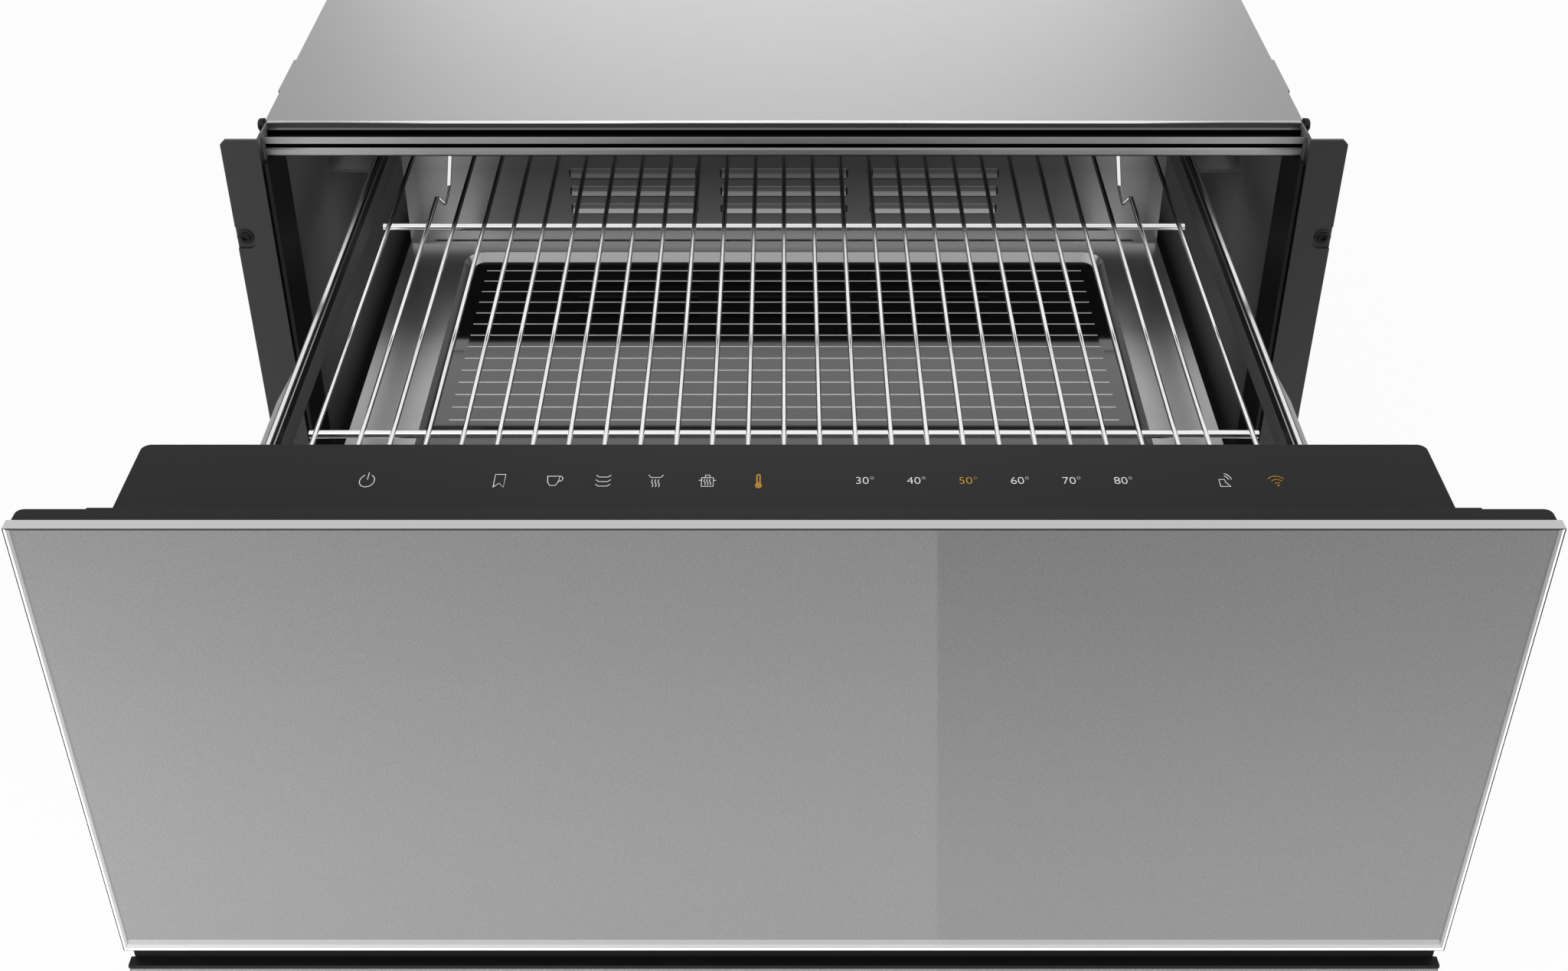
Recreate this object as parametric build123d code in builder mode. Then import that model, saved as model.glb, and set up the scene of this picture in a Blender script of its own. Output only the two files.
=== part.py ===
from build123d import *
import os
from math import radians, tan

# Built-in warming drawer, pulled out as it is when it is being loaded.
# Millimetres. X runs right, Y runs back, Z runs up. The origin is the middle
# of the housing's underside, where the drawer rests in its cabinet niche.

# ---- Sizes of the housing -------------------------------------------------
HOUSING_WIDTH = 550.0
HOUSING_DEPTH = 520.0
HOUSING_HEIGHT = 288.6
SHEET = 1.0  # folded steel sheet
BASE_LIP = 10.0  # turned-up front edge of the base pan
TOP_FOLD = 12.0  # inward fold along the top of each side panel
COVER_SETBACK = 13.0  # cover's front edge behind the housing's front
COVER_HEM = 3.5
TAB_START = 38.0  # hooked tab on each side of the cover, behind its front edge
TAB_LENGTH = 42.0
TAB_HEIGHT = 12.0
TAB_THICKNESS = 1.2
VENT_LENGTH = 40.0
VENT_HEIGHT = 4.0
VENT_PITCH_X = 60.0
VENT_PITCH_Z = 9.0

# ---- Header across the top of the opening ---------------------------------
UPPER_BEAD = 4.0
BEAD_GROOVE = 1.8
LOWER_BEAD = 5.1
BEAD_RELIEF = 1.5  # shadow gap under the cover's hem
HEADER_BACKING = 3.0  # foot that carries the cover
SEAL_HEIGHT = 1.9
SEAL_INSET = 3.0

# ---- Brackets that screw to the cabinet ------------------------------------
FLANGE_WIDTH = 20.0  # how far the flanges and the front reach past the housing's side
FLANGE_STANDOFF = 7.7  # flange face ahead of the housing's front
BRACKET_SHEET = 2.0
BRACKET_WEB_DEPTH = 50.0
BRACKET_BOTTOM = 9.0
BRACKET_DROP = 1.9  # bracket's top below the cover's top
WEB_STEP = 1.7  # web's top below the flange's top
BRACKET_CHAMFER = 2.5
NOTCH_WIDTH = 10.0
NOTCH_HEIGHT = 13.0
NOTCH_DEPTH = 1.2
NOTCH_ROUND = 4.0
SCREW_INSET = 4.5  # screw axis inside the flange's outer edge
UPPER_SCREW_DROP = 57.2  # upper screw below the bracket's top
SCREW_SPACING = 133.7
SCREW_HEAD_RADIUS = 3.3
SCREW_HEAD_HEIGHT = 1.8
SCREW_SHANK_RADIUS = 2.0
SCREW_NECK_RADIUS = 2.4  # shoulder inside the flange
SCREW_HOLE_GAP = 0.1
SCREW_LENGTH = 16.0
SCREW_DRIVE = 3.0  # width of the star recess
SCREW_DRIVE_DEPTH = 1.0
CORNER_HEAD_RADIUS = 3.65
CORNER_HEAD_HEIGHT = 3.5
CORNER_SCREW_SETBACK = 18.0
CORNER_SCREW_DROP = 5.0
TRIM_THICKNESS = 2.0
TRIM_DEPTH = 37.0
TRIM_LEAD = 6.0  # how far the upright trims stand ahead of the housing

# ---- Front of the drawer ---------------------------------------------------
FRONT_RISE = 1.4  # glass top above the housing's top
GLASS_HEIGHT = 235.0
GLASS_THICKNESS = 6.0
GLASS_EDGE = 0.5
GLASS_CORNER = 1.5
FRONT_CLEARANCE = 2.0  # front's lower edge above the cabinet floor
LEDGE_GAP = 10.0
LEDGE_HEIGHT = 1.7
LEDGE_SETBACK = 0.6
CARRIER_INSET = 1.7
CARRIER_DROP = 0.3
CARRIER_DEPTH = 7.4
CARRIER_BACK = 2.4
CARRIER_RIM = 10.0
CARRIER_ROUND = 3.0
CLOSED_GAP = 0.9  # carrier to flange when the drawer is shut
PAD_SIDE_GAP = 8.0
PAD_DROP = 0.1
PAD_THICKNESS = 1.0
DOOR_PANEL_MARGIN = 13.0  # inner door panel inside the housing's side
DOOR_PANEL_BOTTOM = 12.0

# ---- Control box behind the top of the front -------------------------------
CONTROL_SIDE_GAP = 6.5  # box inside the housing's side
CONTROL_DEPTH = 71.9
CONTROL_DROP = 2.3  # gap between the header seal and the panel
PANEL_THICKNESS = 2.5
CONTROL_HEIGHT = 45.0
CONTROL_WALL = 2.0
CONTROL_ROUND = 4.0
BOARD_WIDTH = 330.0
BOARD_DEPTH = 50.0
BOARD_THICKNESS = 1.6
BOARD_GAP = 8.0  # board below the control panel
POST_RADIUS = 3.5
POST_INSET = 6.0

# ---- Travel ----------------------------------------------------------------
OPEN_TRAVEL = 330.0  # how far the drawer stands out here

# ---- Tray ------------------------------------------------------------------
TRAY_SIDE_GAP = 41.0  # tray's edge inside the housing's side
TRAY_BACK_GAP = 44.5  # tray to the housing's back, with the drawer shut
FLOOR_DROP = 144.0  # floor below the top of the front
TRAY_FLANGE = 27.0
LEDGE_REACH = 14.0
REST_TAB = 14.0  # width of each tab under the rack's back corners
RECESS_MARGIN_SIDE = 37.3
RECESS_MARGIN_BACK = 15.6
RECESS_MARGIN_FRONT = 18.4
RECESS_TAPER = 35.0
RECESS_ROUND = 12.0
RECESS_DEPTH = 8.5
PLATE_THICKNESS = 4.0
PLATE_GAP = 0.5
PLATE_SUPPORT = 9.0
SEAL_THICKNESS = 1.0
SEAL_WIDTH = 7.0

# ---- Heating ---------------------------------------------------------------
HEATER_MARGIN = 24.0
HEATER_PITCH = 36.0
HEATER_RUNS = 9
HEATER_STRIP = 9.0
HEATER_THICKNESS = 1.0
SENSOR_RADIUS = 4.0
SENSOR_HEIGHT = 4.5
MAT_THICKNESS = 12.0
MAT_CLEARANCE = 1.0

# ---- Back of the drawer ----------------------------------------------------
BACK_TOP_DROP = 77.6  # panel's top below the glass top
EAR_WIDTH = 9.0
LOUVRE_LENGTH = 78.7
LOUVRE_HEIGHT = 5.0
LOUVRE_PITCH_X = 92.65
LOUVRE_PITCH_Z = 11.95
LOUVRE_DROP = 109.8  # middle row below the glass top
LOUVRE_SHEET = 0.8
LOUVRE_REACH = 3.0  # how far each hood stands out over its slot
LOUVRE_END = 1.2  # open slot past each end of its hood
FAN_BOX_WIDTH = 290.0
FAN_BOX_HEIGHT = 62.0
FAN_BOX_DEPTH = 34.5
FAN_WINDOW = 16.0
FAN_RADIUS = 27.0
FAN_HUB_RADIUS = 6.0
FAN_SHAFT_RADIUS = 2.0
FAN_SHAFT_GAP = 0.05
FAN_BLADES = 14
FAN_BLADE_LENGTH = 10.0
FAN_BLADE_THICKNESS = 1.2
FAN_BLADE_TILT = 35.0
FAN_DISC = 1.5
FAN_HEIGHT = 12.5
FAN_RUN_GAP = 3.0
MOTOR_RADIUS = 17.0
MOTOR_HEIGHT = 14.0

# ---- Telescopic slides -----------------------------------------------------
RAIL_WIDTH = 6.7
RAIL_HEIGHT = 6.0
RAIL_ROUND = 2.6
RAIL_OVERLAP = 1.5  # rail's inner face inside the tray's edge
SLIDE_TOP_GAP = 1.0  # members below the rail
SLIDE_HEIGHT = 13.0
SLIDE_WIDTH = 3.2
SLIDE_SIDE_GAP = 2.4  # middle member outside the tray
SLIDE_WALL = 1.2
SLIDE_GAP = 0.4
MIDDLE_SHORTFALL = 80.0  # middle member shorter than the fixed one
MIDDLE_SETBACK = 135.0  # middle member's front ahead of the fixed member's
FIXED_BACK_GAP = 39.0
FIXED_SETBACK = 1.0
SLIDE_BRACKET_LENGTH = 40.0
SLIDE_BRACKET_INSET = 120.0
GUSSET_THICKNESS = 2.0
GUSSET_LENGTH_TOP = 135.0
GUSSET_LENGTH_BOTTOM = 185.0

# ---- Wire rack -------------------------------------------------------------
WIRE_RADIUS = 1.25
WIRE_PAIRS = 11
EDGE_WIRE_INSET = 12.0  # outermost wires inside the tray's edge
STOP_WIRE_INSET = 34.0  # cranked wires inside the tray's edge
STOP_WIRE_SPACE = 14.65  # cranked wire to its straight neighbour
WIRE_DROP = 76.0  # wire axis below the glass top
RACK_END_GAP = 5.7
RACK_BACK_GAP = 7.5
ROD_RADIUS = 2.0
ROD_WELD = 0.25  # wires sink this far into the rods
ROD_OVERHANG = 4.0  # cross rods past the outermost wires
ROD_FRONT_INSET = 90.0
ROD_BACK_INSET = 98.0
REST_GAP = 0.3  # rack above its ledges
KINK_INSET = 68.0  # kink ahead of the wires' rear ends
KINK_IN = 3.8
KINK_DOWN = 2.5
KINK_RUN = 4.0
STOP_FOOT = 15.5
STOP_RISE = 26.5
STOP_LEAN = 31.0
STOP_BEND = 5.0
KINK_BEND = 2.6

# ---- Push latch and mains inlet --------------------------------------------
LATCH_WIDTH = 24.0
LATCH_HEIGHT = 20.0
LATCH_LENGTH = 31.0
LATCH_RISE = 12.0  # latch's axis above the bottom of the tray
PLUNGER_RADIUS = 4.0
PLUNGER_FIT = 0.05
PLUNGER_HEAD_RADIUS = 6.0
PLUNGER_HEAD = 3.0
PLUNGER_INSIDE = 12.0
PLUNGER_SPARE = 6.0
INLET_SIDE_GAP = 115.0  # inlet's axis inside the housing's side
INLET_Z = 45.0
INLET_WIDTH = 80.0
INLET_HEIGHT = 50.0
INLET_DEPTH = 30.0
GLAND_RADIUS = 8.0
GLAND_FIT = 0.1
GLAND_FLANGE_RADIUS = 11.0
GLAND_FLANGE = 4.0
GLAND_REACH = 12.0
GLAND_BORE = 4.0

# ---- Places worked out from the sizes --------------------------------------
half_width = HOUSING_WIDTH / 2
inner_half = half_width - SHEET
inlet_x = half_width - INLET_SIDE_GAP
front_y = -HOUSING_DEPTH / 2
back_y = HOUSING_DEPTH / 2
cover_front_y = front_y + COVER_SETBACK
cover_bottom = HOUSING_HEIGHT - SHEET
hem_bottom = cover_bottom - SHEET
bead_top = hem_bottom - BEAD_RELIEF
header_bottom = bead_top - UPPER_BEAD - BEAD_GROOVE - LOWER_BEAD
opening_top = header_bottom - SEAL_HEIGHT

flange_y = front_y - FLANGE_STANDOFF
flange_back_y = flange_y + BRACKET_SHEET
flange_half = half_width + FLANGE_WIDTH
bracket_top = HOUSING_HEIGHT - BRACKET_DROP
screw_x = flange_half - SCREW_INSET
screw_z = {
    "upper": bracket_top - UPPER_SCREW_DROP,
    "lower": bracket_top - UPPER_SCREW_DROP - SCREW_SPACING,
}
notch_y = flange_y + NOTCH_DEPTH
corner_screw_y = front_y + CORNER_SCREW_SETBACK
corner_screw_z = HOUSING_HEIGHT - CORNER_SCREW_DROP

front_top = HOUSING_HEIGHT + FRONT_RISE
carrier_back_y = flange_y - CLOSED_GAP - OPEN_TRAVEL
carrier_front_y = carrier_back_y - CARRIER_DEPTH
glass_front_y = carrier_front_y - GLASS_THICKNESS
glass_bottom = front_top - GLASS_HEIGHT
ledge_top = glass_bottom - LEDGE_GAP
ledge_bottom = ledge_top - LEDGE_HEIGHT
carrier_half = flange_half - CARRIER_INSET
door_back_y = carrier_back_y + PAD_THICKNESS

panel_top = opening_top - CONTROL_DROP
panel_bottom = panel_top - PANEL_THICKNESS
control_bottom = panel_top - CONTROL_HEIGHT
control_half = half_width - CONTROL_SIDE_GAP
pad_half = half_width - PAD_SIDE_GAP
control_back_y = door_back_y + CONTROL_DEPTH

tray_half = half_width - TRAY_SIDE_GAP
floor_top = front_top - FLOOR_DROP
tray_front_y = control_back_y
tray_back_y = back_y - TRAY_BACK_GAP - OPEN_TRAVEL
wire_z = front_top - WIRE_DROP
rest_z = wire_z - WIRE_RADIUS - REST_GAP
pan_bottom = floor_top - SHEET - TRAY_FLANGE
recess_x = tray_half - RECESS_MARGIN_SIDE
recess_front_y = tray_front_y + RECESS_MARGIN_FRONT
recess_back_y = tray_back_y - RECESS_MARGIN_BACK
recess_mid_y = (recess_front_y + recess_back_y) / 2
recess_length = recess_back_y - recess_front_y
recess_slope = RECESS_DEPTH * tan(radians(RECESS_TAPER))  # how far its walls lean in
plate_half = recess_x - recess_slope - PLATE_GAP
plate_length = recess_length - 2 * (recess_slope + PLATE_GAP)
plate_round = RECESS_ROUND - recess_slope
support_top = floor_top - RECESS_DEPTH
plate_bottom = support_top + SEAL_THICKNESS

rail_top = control_bottom
rail_bottom = rail_top - RAIL_HEIGHT
rail_inner_x = tray_half - RAIL_OVERLAP
rail_outer_x = rail_inner_x + RAIL_WIDTH
slide_top = rail_bottom - SLIDE_TOP_GAP
slide_bottom = slide_top - SLIDE_HEIGHT
middle_x = tray_half + SLIDE_SIDE_GAP
fixed_x = middle_x + SLIDE_WIDTH + SLIDE_GAP
fixed_front_y = front_y + FIXED_SETBACK
fixed_back_y = back_y - FIXED_BACK_GAP
middle_front_y = fixed_front_y - MIDDLE_SETBACK
middle_back_y = fixed_back_y - MIDDLE_SETBACK - MIDDLE_SHORTFALL
skirt_x = tray_half + SLIDE_WALL
tongue_reach = SLIDE_WIDTH - SLIDE_WALL
tongue_span = (slide_bottom + SLIDE_WALL + SLIDE_GAP, slide_top - SLIDE_WALL - SLIDE_GAP)

SIDES = (("left", -1), ("right", 1))

os.makedirs("parts", exist_ok=True)


def block(x_span, y_span, z_span, mode=Mode.ADD):
    """Add or cut a block between two limits along each axis."""
    spans = (x_span, y_span, z_span)
    centre = tuple((low + high) / 2 for low, high in spans)
    size = tuple(high - low for low, high in spans)
    with Locations(centre):
        Box(*size, mode=mode)


def across(sign, near, far):
    """Limits along X of something between two distances from the middle plane."""
    return tuple(sorted((sign * near, sign * far)))


def rod_y(x, z, radius, y_span, mode=Mode.ADD):
    """Add or cut a round bar that runs along Y."""
    with Locations((x, sum(y_span) / 2, z)):
        Cylinder(radius, y_span[1] - y_span[0], rotation=(90, 0, 0), mode=mode)


def slide_member(sign, inner_x, y_span):
    """A channel that opens towards the drawer."""
    z_span = (slide_bottom, slide_top)
    hollow_z = (slide_bottom + SLIDE_WALL, slide_top - SLIDE_WALL)
    outer_x = inner_x + SLIDE_WIDTH
    block(across(sign, inner_x, outer_x), y_span, z_span)
    block(across(sign, inner_x, outer_x - SLIDE_WALL), y_span, hollow_z, Mode.SUBTRACT)


# ---- Housing ---------------------------------------------------------------
with BuildPart() as base_pan:
    block((-half_width, half_width), (front_y, back_y), (0, SHEET))
    block((-inner_half, inner_half), (front_y, front_y + SHEET), (SHEET, BASE_LIP))

base_pan.part.label = "base_pan"
export_step(base_pan.part, "parts/base_pan.step")

for side, sign in SIDES:
    with BuildPart() as side_panel:
        block(across(sign, inner_half, half_width), (front_y, back_y), (SHEET, cover_bottom))
        block(
            across(sign, half_width - TOP_FOLD, inner_half),
            (cover_front_y + COVER_HEM, back_y - SHEET),
            (hem_bottom, cover_bottom),
        )
        with BuildSketch(Plane.YZ.offset(sign * half_width)):
            with Locations((corner_screw_y, corner_screw_z)):
                Circle(SCREW_SHANK_RADIUS + SCREW_HOLE_GAP)
        extrude(amount=-sign * SHEET, mode=Mode.SUBTRACT)

    side_panel.part.label = f"side_panel_{side}"
    export_step(side_panel.part, f"parts/side_panel_{side}.step")

with BuildPart() as back_panel:
    block((-inner_half, inner_half), (back_y - SHEET, back_y), (SHEET, hem_bottom))
    with BuildSketch(Plane.XZ.offset(-back_y)):
        with Locations((0, (SHEET + hem_bottom) / 2)):
            with GridLocations(VENT_PITCH_X, VENT_PITCH_Z, 6, 5):
                SlotOverall(VENT_LENGTH, VENT_HEIGHT)
        with Locations((inlet_x, INLET_Z)):
            Circle(GLAND_RADIUS + GLAND_FIT)
    extrude(amount=SHEET, mode=Mode.SUBTRACT)

back_panel.part.label = "back_panel"
export_step(back_panel.part, "parts/back_panel.step")

with BuildPart() as top_cover:
    block((-half_width, half_width), (cover_front_y, back_y), (cover_bottom, HOUSING_HEIGHT))
    block(
        (-inner_half, inner_half),
        (cover_front_y, cover_front_y + COVER_HEM),
        (hem_bottom, cover_bottom),
    )
    block(
        (-inner_half, inner_half),
        (back_y - SHEET, back_y),
        (hem_bottom, cover_bottom),
    )
    tab_y = cover_front_y + TAB_START
    for side, sign in SIDES:
        block(
            across(sign, half_width, half_width + TAB_THICKNESS),
            (tab_y, tab_y + TAB_LENGTH),
            (HOUSING_HEIGHT - TAB_HEIGHT, HOUSING_HEIGHT),
        )

top_cover.part.label = "top_cover"
export_step(top_cover.part, "parts/top_cover.step")

with BuildPart() as header_profile:
    upper_z = bead_top - UPPER_BEAD / 2
    lower_z = header_bottom + LOWER_BEAD / 2
    core_y = front_y + LOWER_BEAD / 2
    header_back_y = cover_front_y + COVER_HEM
    with BuildSketch(Plane.YZ.offset(-inner_half)):
        with Locations(((core_y + header_back_y) / 2, (bead_top + header_bottom) / 2)):
            Rectangle(header_back_y - core_y, bead_top - header_bottom)
        with Locations((front_y + UPPER_BEAD / 2, upper_z)):
            Circle(UPPER_BEAD / 2)
        with Locations((core_y, lower_z)):
            Circle(LOWER_BEAD / 2)
        with Locations(((front_y + UPPER_BEAD / 2 + core_y) / 2, upper_z)):
            Rectangle(abs(core_y - front_y - UPPER_BEAD / 2) + 0.01, UPPER_BEAD)
        with Locations((header_back_y - HEADER_BACKING / 2, hem_bottom - BEAD_RELIEF / 2)):
            Rectangle(HEADER_BACKING, BEAD_RELIEF)
    extrude(amount=2 * inner_half)

header_profile.part.label = "header_profile"
export_step(header_profile.part, "parts/header_profile.step")

with BuildPart() as header_seal:
    block(
        (-inner_half + SHEET, inner_half - SHEET),
        (front_y + SEAL_INSET, header_back_y - SEAL_INSET),
        (opening_top, header_bottom),
    )
    fillet(header_seal.faces().sort_by(Axis.Z)[0].edges().filter_by(Axis.X), SEAL_HEIGHT / 2.2)

header_seal.part.label = "header_seal"
export_step(header_seal.part, "parts/header_seal.step")

for side, sign in SIDES:
    with BuildPart() as side_trim:
        block(
            across(sign, inner_half - TRIM_THICKNESS, inner_half),
            (front_y - TRIM_LEAD, front_y - TRIM_LEAD + TRIM_DEPTH),
            (BASE_LIP, opening_top),
        )

    side_trim.part.label = f"side_trim_{side}"
    export_step(side_trim.part, f"parts/side_trim_{side}.step")

# ---- Brackets and screws ---------------------------------------------------
for side, sign in SIDES:
    with BuildPart() as mounting_bracket:
        block(
            across(sign, half_width, flange_half),
            (flange_y, flange_back_y),
            (BRACKET_BOTTOM, bracket_top),
        )
        outer_edges = mounting_bracket.edges().filter_by(Axis.Y).group_by(Axis.X)
        chamfer(outer_edges[-1 if sign > 0 else 0], BRACKET_CHAMFER)
        block(
            across(sign, half_width, half_width + BRACKET_SHEET),
            (flange_back_y, flange_y + BRACKET_WEB_DEPTH),
            (BRACKET_BOTTOM, bracket_top - WEB_STEP),
        )
        with BuildSketch(Plane.XZ.offset(-flange_y)):
            for height in screw_z.values():
                with Locations((sign * flange_half, height)):
                    RectangleRounded(2 * NOTCH_WIDTH, NOTCH_HEIGHT, NOTCH_ROUND)
        extrude(amount=-NOTCH_DEPTH, mode=Mode.SUBTRACT)
        for height in screw_z.values():
            rod_y(
                sign * screw_x,
                height,
                SCREW_NECK_RADIUS + SCREW_HOLE_GAP,
                (flange_y, flange_back_y),
                Mode.SUBTRACT,
            )
        with BuildSketch(Plane.YZ.offset(sign * half_width)):
            with Locations((corner_screw_y, corner_screw_z)):
                Circle(SCREW_SHANK_RADIUS + SCREW_HOLE_GAP)
        extrude(amount=sign * BRACKET_SHEET, mode=Mode.SUBTRACT)

    mounting_bracket.part.label = f"mounting_bracket_{side}"
    export_step(mounting_bracket.part, f"parts/mounting_bracket_{side}.step")

    for row, height in screw_z.items():
        with BuildPart() as cabinet_screw:
            head_y = notch_y - SCREW_HEAD_HEIGHT
            rod_y(sign * screw_x, height, SCREW_HEAD_RADIUS, (head_y, notch_y))
            fillet(cabinet_screw.faces().sort_by(Axis.Y)[0].edges(), SCREW_HEAD_HEIGHT / 2)
            rod_y(sign * screw_x, height, SCREW_NECK_RADIUS, (notch_y, flange_back_y))
            tip_y = notch_y + SCREW_LENGTH
            rod_y(sign * screw_x, height, SCREW_SHANK_RADIUS, (flange_back_y, tip_y))
            with BuildSketch(Plane.XZ.offset(-head_y)):
                with Locations((sign * screw_x, height)):
                    RegularPolygon(SCREW_DRIVE / 2, 6)
            extrude(amount=-SCREW_DRIVE_DEPTH, mode=Mode.SUBTRACT)

        cabinet_screw.part.label = f"cabinet_screw_{side}_{row}"
        export_step(cabinet_screw.part, f"parts/cabinet_screw_{side}_{row}.step")

    with BuildPart() as corner_screw:
        head_x = half_width + BRACKET_SHEET
        with BuildSketch(Plane.YZ.offset(sign * head_x)):
            with Locations((corner_screw_y, corner_screw_z)):
                Circle(CORNER_HEAD_RADIUS)
        extrude(amount=sign * CORNER_HEAD_HEIGHT)
        head_rim = corner_screw.faces().sort_by(Axis.X)[-1 if sign > 0 else 0].edges()
        fillet(head_rim, CORNER_HEAD_HEIGHT / 2)
        with BuildSketch(Plane.YZ.offset(sign * head_x)):
            with Locations((corner_screw_y, corner_screw_z)):
                Circle(SCREW_SHANK_RADIUS)
        extrude(amount=-sign * (head_x - inner_half))

    corner_screw.part.label = f"corner_screw_{side}"
    export_step(corner_screw.part, f"parts/corner_screw_{side}.step")

# ---- Telescopic slides -----------------------------------------------------
for side, sign in SIDES:
    with BuildPart() as slide_fixed:
        slide_member(sign, fixed_x, (fixed_front_y, fixed_back_y))

    slide_fixed.part.label = f"slide_fixed_{side}"
    export_step(slide_fixed.part, f"parts/slide_fixed_{side}.step")

    arm_x = across(sign, fixed_x + SLIDE_WIDTH, inner_half)
    foot_x = across(sign, inner_half - SHEET, inner_half)
    bracket_y = {
        "front": fixed_front_y + SLIDE_BRACKET_INSET,
        "rear": fixed_back_y - SLIDE_BRACKET_INSET - SLIDE_BRACKET_LENGTH,
    }
    for place, start_y in bracket_y.items():
        with BuildPart() as slide_bracket:
            y_span = (start_y, start_y + SLIDE_BRACKET_LENGTH)
            block(arm_x, y_span, (slide_bottom, slide_bottom + BRACKET_SHEET))
            block(foot_x, y_span, (slide_bottom, slide_top))

        slide_bracket.part.label = f"slide_bracket_{side}_{place}"
        export_step(slide_bracket.part, f"parts/slide_bracket_{side}_{place}.step")

    with BuildPart() as slide_middle:
        y_span = (middle_front_y, middle_back_y)
        slide_member(sign, middle_x, y_span)
        tongue_x = middle_x + SLIDE_WIDTH
        block(across(sign, tongue_x, tongue_x + tongue_reach), y_span, tongue_span)

    slide_middle.part.label = f"slide_middle_{side}"
    export_step(slide_middle.part, f"parts/slide_middle_{side}.step")

    with BuildPart() as side_rail:
        y_span = (door_back_y, tray_back_y)
        block(across(sign, rail_inner_x, rail_outer_x), y_span, (rail_bottom, rail_top))
        top_edges = side_rail.edges().filter_by(Axis.Y).group_by(Axis.Z)[-1]
        fillet(top_edges, RAIL_ROUND)
        block(across(sign, tray_half, skirt_x), y_span, (tongue_span[0], rail_bottom))
        block(across(sign, skirt_x, middle_x + tongue_reach - SLIDE_GAP), y_span, tongue_span)

    side_rail.part.label = f"side_rail_{side}"
    export_step(side_rail.part, f"parts/side_rail_{side}.step")

    with BuildPart() as tray_bracket:
        gusset_x = across(sign, tray_half, tray_half + GUSSET_THICKNESS)
        with BuildSketch(Plane.YZ.offset(gusset_x[0])):
            with BuildLine():
                Polyline(
                    (door_back_y, pan_bottom),
                    (door_back_y + GUSSET_LENGTH_BOTTOM, pan_bottom),
                    (door_back_y + GUSSET_LENGTH_BOTTOM, floor_top),
                    (door_back_y + GUSSET_LENGTH_TOP, tongue_span[0]),
                    (door_back_y, tongue_span[0]),
                    close=True,
                )
            make_face()
        extrude(amount=GUSSET_THICKNESS)

    tray_bracket.part.label = f"tray_bracket_{side}"
    export_step(tray_bracket.part, f"parts/tray_bracket_{side}.step")

# ---- Front of the drawer ---------------------------------------------------
with BuildPart() as front_glass:
    with BuildSketch(Plane.XZ.offset(-carrier_front_y)):
        with Locations((0, (glass_bottom + front_top) / 2)):
            RectangleRounded(2 * flange_half, GLASS_HEIGHT, GLASS_CORNER)
    extrude(amount=GLASS_THICKNESS)
    chamfer(front_glass.faces().sort_by(Axis.Y)[0].edges(), GLASS_EDGE)

front_glass.part.label = "front_glass"
export_step(front_glass.part, "parts/front_glass.step")

with BuildPart() as front_carrier:
    carrier_top = front_top - CARRIER_DROP
    block(
        (-carrier_half, carrier_half),
        (carrier_front_y, carrier_back_y),
        (FRONT_CLEARANCE, carrier_top),
    )
    back_edges = front_carrier.faces().sort_by(Axis.Y)[-1].edges().filter_by(Axis.Z)
    fillet(back_edges, CARRIER_ROUND)
    block(
        (-carrier_half + CARRIER_RIM, carrier_half - CARRIER_RIM),
        (carrier_front_y, carrier_back_y - CARRIER_BACK),
        (FRONT_CLEARANCE + CARRIER_RIM, carrier_top - CARRIER_RIM),
        Mode.SUBTRACT,
    )
    block(
        (-carrier_half + CARRIER_RIM, carrier_half - CARRIER_RIM),
        (carrier_front_y, carrier_back_y - CARRIER_BACK),
        (ledge_bottom - CARRIER_RIM, glass_bottom + CARRIER_RIM),
    )
    block(
        (-pad_half, pad_half),
        (carrier_back_y - CARRIER_BACK, door_back_y),
        (control_bottom, carrier_top - PAD_DROP),
    )

front_carrier.part.label = "front_carrier"
export_step(front_carrier.part, "parts/front_carrier.step")

with BuildPart() as lower_ledge:
    block(
        (-flange_half, flange_half),
        (glass_front_y + LEDGE_SETBACK, carrier_front_y),
        (ledge_bottom, ledge_top),
    )

lower_ledge.part.label = "lower_ledge"
export_step(lower_ledge.part, "parts/lower_ledge.step")

with BuildPart() as lower_strip:
    block(
        (-flange_half, flange_half),
        (glass_front_y + LEDGE_SETBACK, carrier_front_y),
        (FRONT_CLEARANCE, ledge_bottom),
    )

lower_strip.part.label = "lower_strip"
export_step(lower_strip.part, "parts/lower_strip.step")

with BuildPart() as door_inner_panel:
    panel_half = half_width - DOOR_PANEL_MARGIN
    block(
        (-panel_half, panel_half),
        (carrier_back_y, door_back_y),
        (DOOR_PANEL_BOTTOM, control_bottom),
    )

door_inner_panel.part.label = "door_inner_panel"
export_step(door_inner_panel.part, "parts/door_inner_panel.step")

# ---- Control box -----------------------------------------------------------
board_top = panel_bottom - BOARD_GAP
board_bottom = board_top - BOARD_THICKNESS
board_mid_y = (door_back_y + control_back_y) / 2
post_x = BOARD_WIDTH / 2 - POST_INSET
post_y = BOARD_DEPTH / 2 - POST_INSET

with BuildPart() as control_housing:
    control_z = (control_bottom, panel_bottom)
    block((-control_half, control_half), (door_back_y, control_back_y), control_z)
    upright_edges = control_housing.edges().filter_by(Axis.Z).group_by(Axis.Y)[-1]
    fillet(upright_edges, CONTROL_ROUND)
    block(
        (-control_half + CONTROL_WALL, control_half - CONTROL_WALL),
        (door_back_y + CONTROL_WALL, control_back_y - CONTROL_WALL),
        (control_bottom + CONTROL_WALL, panel_bottom),
        Mode.SUBTRACT,
    )
    with BuildSketch(Plane.XY.offset(control_bottom + CONTROL_WALL)):
        with Locations((0, board_mid_y)):
            with GridLocations(2 * post_x, 2 * post_y, 2, 2):
                Circle(POST_RADIUS)
    extrude(amount=board_bottom - control_bottom - CONTROL_WALL)

control_housing.part.label = "control_housing"
export_step(control_housing.part, "parts/control_housing.step")

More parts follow.
